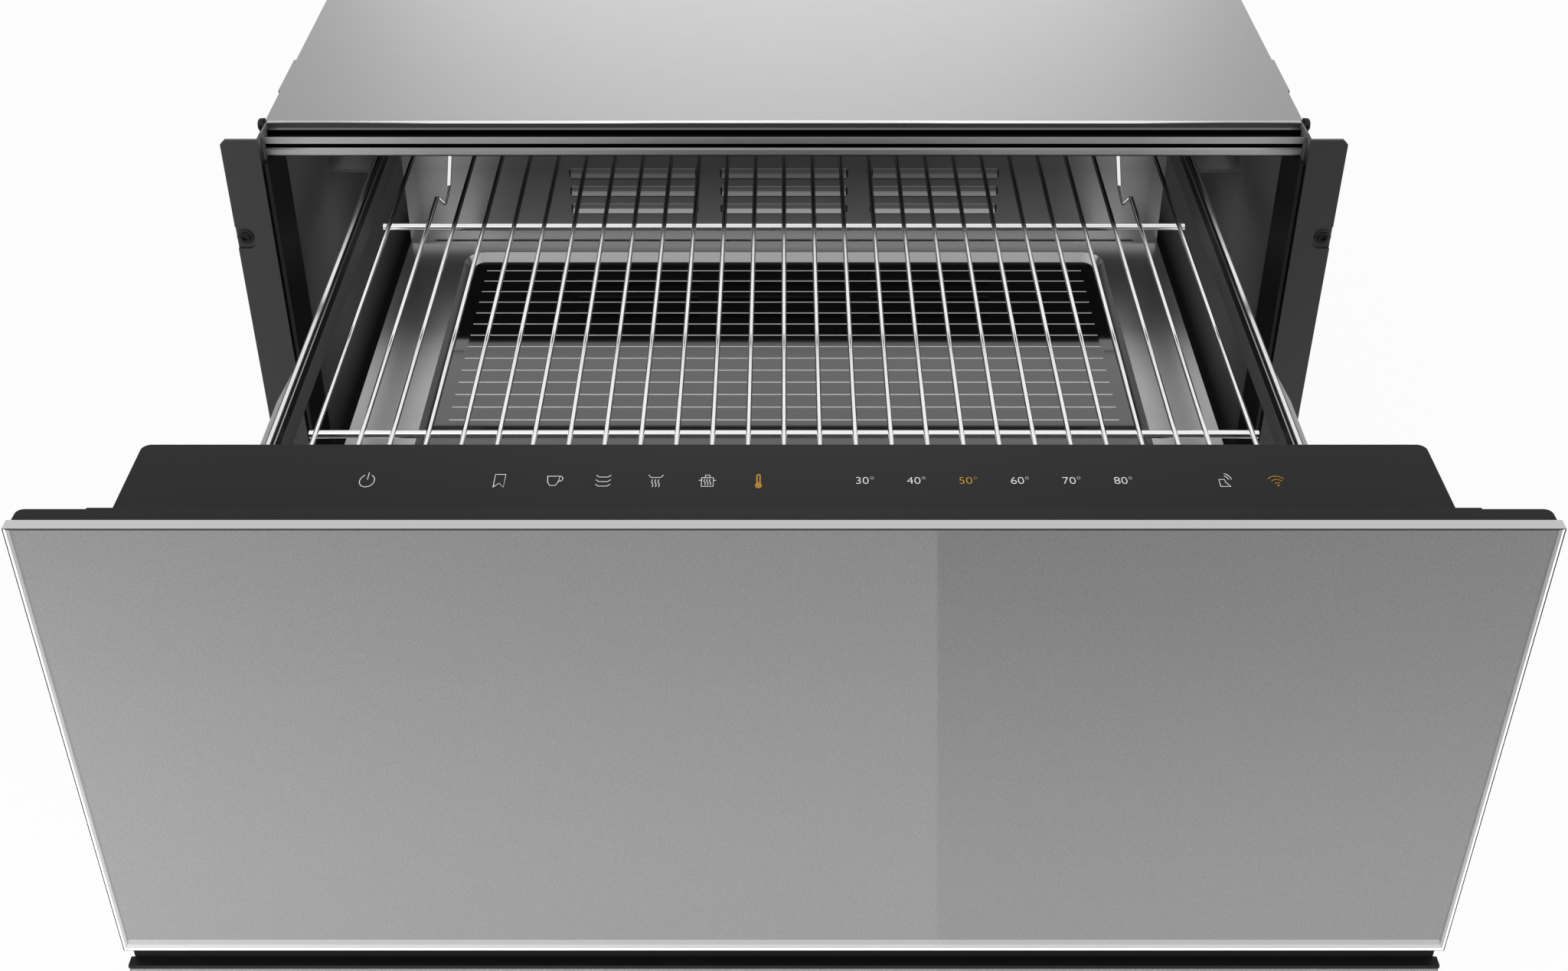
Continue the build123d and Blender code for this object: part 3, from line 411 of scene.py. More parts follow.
class Finishes:
    """Every material of the object, built once."""

    def __init__(self) -> None:
        """Build the materials."""
        # Settings that several finishes share, in the order of their classes' values.
        satin = ("#B0B0B0", 0.31, Grain.ALONG_X, 0.35, 0.001, 0.03, 0.03)
        plating = ("#F1F2F3", 0.06, Grain.NONE, 2.0, 0.002, 0.02)
        extrusion = (0.5, Grain.ALONG_X, 0.4, 0.001, 0.02, 0.02)
        enamel = (0.9, 0.01, 0.05)
        glass = (1.0, 0.001, 0.02, 1.52)
        back_print = (0.3, 0.4, 0.001, 0.06, 1.52)
        ink = (0.3, 0.002, 0.04)
        palette = {
            # Cold-rolled sheet with a fine satin: wide soft highlight, hardly any grain.
            "cover": Metal(
                "steel_sheet_satin", "#909090", 0.36, Grain.ALONG_X, 0.5, 0.002, 0.02, 0.02
            ),
            # Hot-dip zinc: dull grey with broad, faint spangle.
            "zinc": Metal("steel_sheet_galvanised", "#A7A9AB", 0.5, Grain.NONE, 3.0, 0.006, 0.12),
            # Brushed stainless of the tray: clear grain, strong soft reflections.
            "tray": Metal("stainless_steel_satin", *satin),
            # The same steel with its pressed louvres, which lie in the cover's shade, painted into
            # the colour: their rows from the lowest to the highest, then each hood's slope up to
            # the sheet.
            "louvred": Metal(
                "stainless_steel_satin_pressed_painted_light_and_shade",
                *satin,
                fades=(
                    Fade("Z", 0.169, 0.191, 0.66, 0.3),
                    Fade("Y", -0.1163, -0.1159, 0.0, 0.17),
                    Fade("Y", -0.11458, -0.11453, 0.0, 1.0),
                    # Painted shade and light on the sheet: darker the higher it is, lightest beside
                    # its louvres and darker again towards its ends.
                    Fade("Z", 0.15, 0.195, 1.65, 0.72, True),
                    *Fade("X", 0.168, 0.192, 1.0, 1.4, True).on_both_sides(),
                    *Fade("X", 0.208, 0.226, 1.0, 0.35, True).on_both_sides(),
                ),
            ),
            # Anodised extrusion: even satin along its length; its lighter ends are a painted
            # reflection.
            "header": Metal(
                "aluminium_anodised_satin_painted_reflection",
                "#9C9C9D",
                *extrusion,
                0.5,
                Fade("X", 0.185, 0.25, 1.0, 1.75).on_both_sides(),
            ),
            # The strip, a darker copy of the same aluminium on the profile's top face, is painted
            # shade.
            "strip": Metal("aluminium_sanded_painted_shade", "#5A5A5B", *extrusion, 0.6),
            # Lacquered sheet of the lip behind the beads, dark grey as painted shade, and the
            # shadow channel before it, near-black with almost no gloss as painted shade in the
            # recesses.
            "lip": Coating("aluminium_lacquered_grey_painted_shade", "#4A4A4B", 0.5, 0.5, 0.01, 0.1, 1.3),
            "channel": Coating("aluminium_lacquered_black_painted_shade", "#040404", 0.8, 0.5, 0.01, 0.1, 1.08),
            # Turned edge of the cover's sheet, polished by the folding tool; its near-white colour
            # is a painted highlight.
            "hem": Metal(
                "steel_edge_burnished_painted_highlight", "#F2F2F2", 0.22, Grain.ALONG_X, 0.5, 0.001, 0.02, 0.02
            ),
            # Bright nickel and chrome plating on steel wire.
            "chrome": Metal("steel_wire_chrome_plated", *plating),
            # The thin wires lie in the cover's shade behind the opening, painted into their colour.
            "wire": Metal(
                "steel_wire_thin_chrome_plated_painted_shade",
                *plating,
                fades=(Fade("Y", -0.24, -0.222, 1.0, 0.13),),
            ),
            # The rails and their inner step, of blue-white zinc plate, darken towards the opening
            # as painted shade of the housing over them.
            "rail": Metal(
                "stainless_steel_polished_painted_shade",
                "#E8E8E8",
                0.14,
                Grain.ALONG_Y,
                0.5,
                0.002,
                0.04,
                fades=(Fade("Y", -0.29, -0.232, 1.0, 0.1),),
            ),
            # The inner step darkens from further forward, the same painted shade.
            "brace": Metal(
                "steel_plate_zinc_plated_painted_shade",
                "#A6A6A7",
                0.5,
                Grain.ALONG_Y,
                0.6,
                0.002,
                0.04,
                0.04,
                0.8,
                (Fade("Y", -0.36, -0.29, 1.0, 0.06),),
            ),
            "fan": Metal("aluminium_pressed", "#A9ABAD", 0.38, Grain.NONE, 0.8, 0.004),
            "screw": Metal("steel_screw_black_oxide", "#2B2B2C", 0.35, Grain.NONE, 0.5, 0.004),
            # Fine-texture polyester powder coat: matt, with orange peel under a millimetre.
            "powder": Coating("steel_powder_coated_black", "#232424", 0.5, 0.7, 0.03),
            # Black paint of the side trims; on the rails' undercut steps and the slides' members
            # the same black is painted shade.
            "trim": Coating("steel_painted_black_and_painted_shade", "#0E0E0F", 0.5, 0.8, 0.02, 0.1, 1.3),
            # Enamelled sheet of the housing's sides, which lie in shade inside it: their inner
            # faces carry painted shade, darker near the opening and at the foot, and evened out at
            # the top. Their outer faces, which stand in full light, are the same all over.
            "wall": Coating(
                "steel_enamelled_grey_painted_shade",
                "#C8C8C9",
                0.4,
                *enamel,
                1.15,
                fades=(
                    Fade("Y", -0.24, -0.14, 0.18, 0.72),
                    Fade("Z", 0.092, 0.058, 0.7, 0.04),
                    Fade("Z", 0.19, 0.225, 0.0, 0.3),
                    *Fade("X", 0.2744, 0.2746, 0.0, 0.5).on_both_sides(),
                ),
            ),
            # Under side of the rail: the same enamel, always in the tray's shade, which is painted
            # as its darker colour.
            "skirt": Coating("steel_enamelled_painted_shade", "#5E5E5F", 0.5, *enamel, 1.3),
            "moulded": Coating("pbt_moulded_black", "#151516", 0.42, 0.5, 0.03, 0.12, 1.22),
            "panel": Coating(
                "polycarbonate_panel_black", "#0B0B0B", 0.35, 0.4, 0.004, 0.06, 1.22
            ),
            "rubber": Coating("silicone_rubber_black", "#0E0E0F", 0.6, 0.5, 0.02),
            "grey_plastic": Coating("polyamide_moulded_grey", "#3C3D3F", 0.5, 0.6, 0.03),
            "board": Coating("circuit_board_green", "#1D4A2B", 0.4, 1.2, 0.01),
            "felt": Coating("mineral_felt", "#C9C3B2", 0.95, 1.5, 0.3, 0.25),
            "ceramic": Coating("glass_ceramic_black", "#0B0B0C", 0.05, 2.0, 0.001, 0.05, 1.54),
            # The white prints shine a little by themselves, which is painted light.
            "white_ink": Coating("ceramic_ink_white_painted_glow", "#F4F4F3", 0.3, *ink, 1.8, 0.2),
            "symbol": Coating("print_white_painted_glow", "#F2F2F2", 0.5, *ink, 1.5, 0.3),
            "amber": Coating("print_amber_lit", "#D6A112", 0.5, *ink, 1.5, 0.15),
            # Ground rim and polished chamfer of the glass, where it gathers light from inside,
            # painted near-white as that light, and the clear border and thin edge of the print
            # within them, whose copies on the sides are darker as painted shade.
            "glass_rim": Coating("glass_rim_ground_painted_light", "#ECECEC", 0.3, *glass),
            "glass_edge": Coating("glass_edge_polished_painted_light", "#FCFCFC", 0.12, *glass),
            "glass_line": Coating("glass_edge_shadow", "#2A2A2A", 0.3, *glass),
            "glass_border": Coating("glass_border_clear", "#9E9E9E", 0.1, *glass),
            "glass_side_border": Coating("glass_border_side_painted_shade", "#8C8C8C", 0.1, *glass),
            "glass_fade": Coating("glass_print_edge", "#8C8C8C", *back_print),
            "glass_side_fade": Coating("glass_print_side_painted_shade", "#666666", *back_print),
        }
        self.materials = {name: finish.build() for name, finish in palette.items()}
        self.materials["silver_glass"] = SilverPrintedGlass().build()

    def dress(self, material: str, *nodes: str) -> None:
        """Give construction nodes a material in place of their plain one."""
        for node in nodes:
            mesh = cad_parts[node].data
            mesh.materials.clear()
            mesh.materials.append(self.materials[material])

    def slots(self, names: Sequence[str]) -> list[bpy.types.Material]:
        """Return the materials of several names, in their order."""
        return [self.materials[name] for name in names]


# ---- Mesh helpers --------------------------------------------------------------


def link(name: str, data: bpy.types.ID, body: str) -> bpy.types.Object:
    """Put data in the scene as a piece that rides on a body."""
    piece = bpy.data.objects.new(name, data)
    bpy.context.scene.collection.objects.link(piece)
    bpy.context.view_layer.update()
    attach(piece, body)
    return piece


def mesh_piece(
    name: str, body: str, mesh: bmesh.types.BMesh, materials: Sequence[bpy.types.Material]
) -> bpy.types.Object:
    """Turn a bmesh into a piece of the object.

    Args:
        name: the piece's name.
        body: the body it rides on.
        mesh: the mesh, which is freed.
        materials: its material slots, in order.

    Returns:
        The new object.
    """
    data = bpy.data.meshes.new(name)
    mesh.normal_update()
    mesh.to_mesh(data)
    mesh.free()
    for material in materials:
        data.materials.append(material)
    return link(name, data, body)


def add_box(mesh: bmesh.types.BMesh, low: Sequence[float], high: Sequence[float]) -> None:
    """Add a box between two corners to a mesh."""
    corners = [
        mesh.verts.new((x, y, z))
        for z in (low[2], high[2])
        for y in (low[1], high[1])
        for x in (low[0], high[0])
    ]
    level = ((0, 2, 3, 1), (4, 5, 7, 6))
    upright = ((0, 1, 5, 4), (2, 6, 7, 3), (0, 4, 6, 2), (1, 3, 7, 5))
    for loop in level + upright:
        mesh.faces.new([corners[index] for index in loop])


def tube(
    name: str,
    body: str,
    paths: Iterable[Sequence[Point]],
    radius: float,
    material: bpy.types.Material,
    sides: int = 6,
) -> bpy.types.Object:
    """Make round wires along paths of straight runs, as one piece.

    Args:
        name: the piece's name.
        body: the body it rides on.
        paths: the points of each wire's axis.
        radius: the wires' radius.
        material: their finish.
        sides: a quarter of the tube's faces round its section.

    Returns:
        The new object.
    """
    curve = bpy.data.curves.new(name, "CURVE")
    curve.dimensions = "3D"
    curve.bevel_depth = radius
    curve.bevel_resolution = sides
    curve.use_fill_caps = True
    for path in paths:
        spline = curve.splines.new("POLY")
        spline.points.add(len(path) - 1)
        for point, place in zip(spline.points, path):
            point.co = (*place, 1.0)
        spline.use_smooth = True
    curve.materials.append(material)
    return link(name, curve, body)


def rounded_corner(points: Sequence[Point], radius: float, steps: int = 6) -> list[Point]:
    """Round every inner corner of a path.

    Args:
        points: the path's corners.
        radius: how far from a corner its bend starts.
        steps: how many points each bend has.

    Returns:
        The path with its bends as short runs.
    """
    path = [Vector(points[0])]
    for before, corner, after in zip(points, points[1:], points[2:]):
        corner = Vector(corner)
        start = corner + (Vector(before) - corner).normalized() * radius
        end = corner + (Vector(after) - corner).normalized() * radius
        for step in range(steps + 1):
            share = step / steps
            path.append(start.lerp(corner, share).lerp(corner.lerp(end, share), share))
    path.append(Vector(points[-1]))
    return [tuple(point) for point in path]


def arc(centre: Flat, radius: float, start: float, end: float, steps: int = 20) -> list[Flat]:
    """Points along an arc, with angles in degrees from the first axis to the second."""
    angles = [math.radians(start + (end - start) * step / steps) for step in range(steps + 1)]
    return [
        (centre[0] + radius * math.cos(angle), centre[1] + radius * math.sin(angle))
        for angle in angles
    ]


def drawn_out(
    near: Sequence[Point],
    far: Sequence[Point],
    runs: Sequence[str],
    slots: Sequence[str],
    cap: str,
    smooth: Sequence[str] = (),
) -> bmesh.types.BMesh:
    """Draw a section out from one end to the other.

    Args:
        near: the section's corners at one end.
        far: the same corners at the other end.
        runs: the finish of the run that follows each corner.
        slots: the piece's finishes, in the order of its material slots.
        cap: the finish of both ends.
        smooth: the finishes whose runs are shaded as round.

    Returns:
        The mesh.
    """
    mesh = bmesh.new()
    ends = [[mesh.verts.new(corner) for corner in corners] for corners in (near, far)]
    for index, finish in enumerate(runs):
        after = (index + 1) % len(runs)
        face = mesh.faces.new((ends[0][index], ends[0][after], ends[1][after], ends[1][index]))
        face.material_index = slots.index(finish)
        face.smooth = finish in smooth
    for end in ends:
        mesh.faces.new(end).material_index = slots.index(cap)
    bmesh.ops.recalc_face_normals(mesh, faces=mesh.faces[:])
    return mesh


# ---- Sub-assemblies ------------------------------------------------------------


@dataclass
class FrontPanel:
    """The silver glass front, the strip below it and the black moulding behind them."""

    finishes: Finishes
    # Widths of the bright chamfer, the clear border and the print's thin edge.
    side_widths: tuple[float, float, float] = (0.9 * MM, 1.4 * MM, 1.0 * MM)
    foot_widths: tuple[float, float, float] = (1.6 * MM, 2.5 * MM, 3.2 * MM)
    side_line: float = 0.6 * MM
    foot_line: float = 0.5 * MM
    top_line: float = 0.35 * MM
    chamfer_depth: float = 0.5 * MM
    rim_round: float = 0.15 * MM

    def pane(self, name: str, node: str, bordered: bool) -> bpy.types.Object:
        """Build one pane with its ground rim, polished chamfer and clear border.

        Args:
            name: the piece's name.
            node: the construction node that it stands for.
            bordered: whether the sides and the bottom show chamfer and border.

        Returns:
            The pane.
        """
        low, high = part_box(node)
        shown = 1.0 if bordered else 0.0
        edges = ((self.side_line, self.side_widths), (self.foot_line, self.foot_widths))
        sides, feet = (
            [line + shown * sum(widths[:count]) for count in range(4)] for line, widths in edges
        )
        depths = [low.y + self.chamfer_depth * 0.8] + [low.y] * 3
        tops = [self.top_line * share for share in (0.4, 0.8, 1.2, 1.6)]
        layers = [
            (high.y, 0.0, 0.0, 0.0),
            (low.y + self.chamfer_depth, 0.0, 0.0, 0.0),
            *zip(depths, sides, feet, tops),
        ]
        mesh = bmesh.new()
        rings = [
            [
                mesh.verts.new((x, depth, z))
                for x, z in (
                    (low.x + side, low.z + foot),
                    (high.x - side, low.z + foot),
                    (high.x - side, high.z - top),
                    (low.x + side, high.z - top),
                )
            ]
            for depth, side, foot, top in layers
        ]
        # Finishes of each edge, from the rim inwards.
        at_foot = ("glass_rim", "glass_line", "glass_edge", "glass_border", "glass_fade")
        # The sides take darker copies of the border and the print's edge, as painted shade.
        at_side = (*at_foot[:3], "glass_side_border", "glass_side_fade")
        at_top = ("glass_rim", *["glass_line"] * 4)
        slots = ("silver_glass", *at_foot, *at_side[3:])
        for number, (outer, inner) in enumerate(zip(rings, rings[1:])):
            for index, finishes in enumerate((at_foot, at_side, at_top, at_side)):
                after = (index + 1) % 4
                face = mesh.faces.new((outer[index], outer[after], inner[after], inner[index]))
                face.material_index = slots.index(finishes[number])
        mesh.faces.new(rings[-1]).material_index = slots.index("silver_glass")
        mesh.faces.new(list(reversed(rings[0]))).material_index = slots.index("glass_rim")
        pane = mesh_piece(name, "drawer", mesh, self.finishes.slots(slots))
        bevel = pane.modifiers.new("Rim", "BEVEL")
        bevel.width = self.rim_round
        bevel.segments = 2
        bevel.limit_method = "ANGLE"
        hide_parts(node)
        return pane

    def build(self) -> None:
        """Build the panes and dress the mouldings."""
        self.pane("front_glass_pane", "front_glass", True)
        self.pane("lower_strip_pane", "lower_strip", False)
        self.finishes.dress("moulded", "front_carrier", "lower_ledge")
        self.finishes.dress("tray", "door_inner_panel")
        LOG.info("front panel built")


@dataclass
class Symbols:
    """The generic symbols and numbers printed on the control strip."""

    finishes: Finishes
    row_from_back: float = 26.4 * MM
    stroke: float = 0.165 * MM
    proud: float = 0.05 * MM
    stretch: float = 1.45  # the strip's print is drawn tall, to read well at a slant
    number_size: float = 5.9 * MM
    number_stretch: float = 1.2
    number_thinning: float = 0.1 * MM
    symbol_places: dict[str, float] = field(
        default_factory=lambda: {
            "power": -170.0,
            "programme": -116.0,
            "cup": -94.0,
            "plates": -73.7,
            "bowl": -52.3,
            "pot": -31.2,
            "thermometer": -10.4,
            "remote": 180.0,
            "wireless": 200.8,
        }
    )
    lit: tuple[str | int, ...] = ("thermometer", "wireless", 50)
    first_number: float = 33.0 * MM
    number_pitch: float = 21.1 * MM

    @staticmethod
    def steam(places: Sequence[float], low: float, height: float) -> list[list[Flat]]:
        """Wavy lines of steam that rise from a height at several places."""
        sway, steps = 0.32, 10
        shares = [step / steps for step in range(steps + 1)]
        return [
            [(place + sway * math.sin(share * math.tau), low + height * share) for share in shares]
            for place in places
        ]

    def drawings(self) -> dict[str, list[list[Flat]]]:
        """Strokes of each symbol, in millimetres about its middle."""
        stems = [[(x, -2.0), (x, 2.4)] for x in (-0.75, -0.5, 0.5, 0.75)]
        caps = [arc((0, 2.4), radius, 180, 0, 8) for radius in (0.5, 0.75)]
        bulbs = [arc((0, -2.3), radius, 0, 360, 14) for radius in (0.2, 0.55, 0.9, 1.25)]
        return {
            "power": [arc((0, 0), 3.0, 118, 422, 28), [(0, 0.6), (0, 4.0)]],
            "programme": [
                [(-2.1, -3.1), (-2.1, 3.1), (2.1, 3.1), (2.1, -3.1), (0, -1.2), (-2.1, -3.1)]
            ],
            "cup": [
                [(-2.6, 2.2), (-2.3, -0.6), (-1.2, -2.3)]
                + [(1.0, -2.3), (2.0, -0.6), (2.4, 2.2), (-2.6, 2.2)],
                arc((2.5, 1.0), 1.2, 90, -110, 10),
            ],
            "plates": [
                [(-3.0, row + 0.9), (-1.8, row), (1.8, row), (3.0, row + 0.9)]
                for row in (-2.6, -0.4, 1.8)
            ],
            "bowl": [
                [(-3.0, 2.8), (-2.0, 1.6), (2.0, 1.6), (3.0, 2.8)],
                *self.steam((-1.3, 0, 1.3), -3.0, 3.6),
            ],
            "pot": [
                [(-2.4, 1.5), (-2.4, -2.8), (2.4, -2.8), (2.4, 1.5), (-2.4, 1.5)],
                [(-0.9, 1.5), (-0.9, 2.7), (0.9, 2.7), (0.9, 1.5)],
                [(-3.5, 0.2), (-2.4, 0.2)],
                [(2.4, 0.2), (3.5, 0.2)],
                *self.steam((-1.1, 0, 1.1), -2.1, 2.8),
            ],
            "thermometer": [*stems, *caps, *bulbs],
            "remote": [
                [(-2.6, -2.8), (-2.6, 0.6), (-0.2, 0.6), (-0.2, -0.6), (1.4, -2.8), (-2.6, -2.8)],
                arc((-0.6, 0.4), 2.0, 5, 75, 8),
                arc((-0.6, 0.4), 3.2, 5, 75, 8),
            ],
            "wireless": [
                *(arc((0, -2.4), radius, 45, 135, 12) for radius in (1.4, 3.0, 4.6)),
                arc((0, -2.3), 0.25, 0, 360, 8),
            ],
        }

    def build(self) -> None:
        """Draw the symbols and numbers on top of the control panel."""
        low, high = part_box("control_panel")
        row_y = high.y - self.row_from_back
        top = high.z + self.proud
        for name, strokes in self.drawings().items():
            finish = "amber" if name in self.lit else "symbol"
            centre_x = self.symbol_places[name] * MM
            paths = [
                [(centre_x + x * MM, row_y + y * self.stretch * MM, top) for x, y in stroke]
                for stroke in strokes
            ]
            mark = tube(
                f"symbol_{name}", "drawer", paths, self.stroke, self.finishes.materials[finish], 1
            )
            LOG.info("printed %s", mark.name)
        for step, degrees in enumerate(range(30, 90, 10)):
            text = bpy.data.curves.new(f"number_{degrees}", "FONT")
            text.body = f"{degrees}°"
            text.size = self.number_size
            text.align_x = "CENTER"
            text.align_y = "CENTER"
            text.extrude = self.proud
            text.offset = -self.number_thinning
            finish = "amber" if degrees in self.lit else "symbol"
            text.materials.append(self.finishes.materials[finish])
            number = bpy.data.objects.new(f"number_{degrees}", text)
            number.location = (self.first_number + step * self.number_pitch, row_y, high.z)
            number.scale = (1.0, self.number_stretch, 1.0)
            bpy.context.scene.collection.objects.link(number)
            bpy.context.view_layer.update()
            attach(number, "drawer")


@dataclass
class ControlBox:
    """The touch control box behind the front's top edge."""

    finishes: Finishes

    def build(self) -> None:
        """Dress the box and print its symbols."""
        self.finishes.dress("moulded", "control_housing")
        self.finishes.dress("panel", "control_panel")
        self.finishes.dress("board", "control_board")
        Symbols(self.finishes).build()
        LOG.info("control box built")


@dataclass
class HeatedTray:
    """The tray with its louvred rear panel, and its plate with the printed lines."""

    finishes: Finishes
    line_pitch: float = 12.8 * MM
    line_width: float = 0.75 * MM
    line_inset: float = 7.5 * MM
    first_line: float = 11.0 * MM
    proud: float = 0.06 * MM
    # The louvres' slots, three by three, as pressed in the rear panel.
    slot_pitch: Flat = (92.65 * MM, 11.95 * MM)
    slot_half: float = 39.35 * MM
    slot_end: float = 1.2 * MM
    slot_middle: float = 180.2 * MM
    slot_rise: Flat = (-2.3 * MM, 1.7 * MM)
    slot_depth: Flat = (-0.1 * MM, 0.8 * MM)
    seal_inset: float = 15.0 * MM
    seal_rise: float = 3.5 * MM
    seal_bead: float = 0.3 * MM
    seal_proud: float = 0.7 * MM

    def build(self) -> None:
        """Dress the tray and print the plate."""
        nodes = {
            "tray": ("base_tray", "tray_bracket_left", "tray_bracket_right"),
            "louvred": ("rear_panel",),
            "ceramic": ("glass_ceramic_plate",),
            "rubber": ("plate_seal",),
            "zinc": ("heat_shield", "fan_cover", "temperature_sensor"),
            "felt": ("insulation_mat",),
            "fan": ("heating_element", "fan_wheel"),
            "powder": ("fan_motor",),
        }
        for finish, names in nodes.items():
            self.finishes.dress(finish, *names)
        low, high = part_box("glass_ceramic_plate")
        mesh = bmesh.new()
        line_y = high.y - self.first_line
        while line_y > low.y + self.line_inset:
            add_box(
                mesh,
                (low.x + self.line_inset, line_y - self.line_width / 2, high.z),
                (high.x - self.line_inset, line_y + self.line_width / 2, high.z + self.proud),
            )
            line_y -= self.line_pitch
        mesh_piece("plate_lines", "drawer", mesh, self.finishes.slots(("white_ink",)))
        self.rear()
        LOG.info("tray built")

    def rear(self) -> None:
        """Close the ends of the louvres' slots with black boxes that are painted shade, and seal
        the rear panel's foot.
        """
        face_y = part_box("base_tray")[1].y
        mesh = bmesh.new()
        for column in (-1, 0, 1):
            for row in (-1, 0, 1):
                middle = self.slot_middle + row * self.slot_pitch[1]
                for sign in SIDES.values():
                    outer = column * self.slot_pitch[0] + sign * self.slot_half
                    left, right = sorted((outer, outer - sign * self.slot_end))
                    low, high = (
                        (x, face_y + depth, middle + rise)
                        for x, depth, rise in zip((left, right), self.slot_depth, self.slot_rise)
                    )
                    add_box(mesh, low, high)
        rubber = self.finishes.slots(("rubber",))
        # Black boxes that stand for the shade in the slots' ends.
        mesh_piece("slot_ends_painted_shade", "drawer", mesh, rubber)
        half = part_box("rear_panel")[1].x - self.seal_inset
        seam_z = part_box("glass_ceramic_plate")[1].z + self.seal_rise
        bead = self.seal_bead
        mesh = bmesh.new()
        low = (-half, face_y - self.seal_proud, seam_z - bead)
        add_box(mesh, low, (half, face_y, seam_z + bead))
        mesh_piece("rear_seal", "drawer", mesh, rubber)


@dataclass
class WireRack:
    """The chrome rack: straight wires, two cross rods and the cranked back stop."""

    finishes: Finishes
    wire_radius: float = 1.25 * MM
    rod_radius: float = 2.0 * MM
    pairs: int = 11
    edge_from_rod_end: float = 4.0 * MM
    stop_spacing: float = 14.65 * MM
    rod_places: tuple[float, float] = (-430.0 * MM, -220.0 * MM)
    kink: float = 68.0 * MM
    kink_in: float = 3.8 * MM
    kink_down: float = 4.7 * MM
    kink_run: float = 1.5 * MM
    foot: float = 18.0 * MM
    foot_rise: float = 2.2 * MM
    lean: float = 31.0 * MM
    rise: float = 26.5 * MM
    bend: float = 1.0 * MM

    def build(self) -> None:
        """Build the rack's wires and rods."""
        low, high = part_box("wire_rack")
        stop_low, stop_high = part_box("rack_back_stop")
        chrome, wire = self.finishes.materials["chrome"], self.finishes.materials["wire"]
        wire_z = high.z - self.wire_radius
        rod_z = low.z + self.rod_radius
        stop_x = stop_high.x - self.wire_radius
        pitch = (stop_x - self.stop_spacing) / self.pairs
        edge_x = high.x - self.edge_from_rod_end
        places = [pitch * pair for pair in range(-self.pairs, self.pairs + 1)] + [-edge_x, edge_x]
        wires = tube(
            "rack_wires",
            "rack",
            [[(x, low.y, wire_z), (x, high.y, wire_z)] for x in places],
            self.wire_radius,
            wire,
        )
        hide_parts("wire_rack")
        tube(
            "rack_rods",
            "rack",
            [[(low.x, y, rod_z), (high.x, y, rod_z)] for y in self.rod_places],
            self.rod_radius,
            chrome,
        )
        kink_y = high.y - self.kink
        foot_y = kink_y + self.kink_run
        foot_z = wire_z - self.kink_down
        rise_y = foot_y + self.foot
        heel_z = foot_z + self.foot_rise
        top = (rise_y + self.lean, heel_z + self.rise)
        inner_x = stop_x - self.kink_in
        paths = []
        for sign in SIDES.values():
            corners = [
                (sign * stop_x, low.y, wire_z),
                (sign * stop_x, kink_y, wire_z),
                (sign * inner_x, foot_y, foot_z),
                (sign * inner_x, rise_y, heel_z),
                (sign * inner_x, *top),
            ]
            paths.append(rounded_corner(corners, self.bend))
        paths.append([(-inner_x - self.wire_radius, *top), (inner_x + self.wire_radius, *top)])
        stop = tube("rack_stop_wires", "rack", paths, self.wire_radius, chrome)
        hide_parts("rack_back_stop")
        for piece in (wires, stop):
            # Thin wires an arm's length away don't show in the satin floor and the plate.
            piece.visible_glossy = False
        LOG.info("rack built")


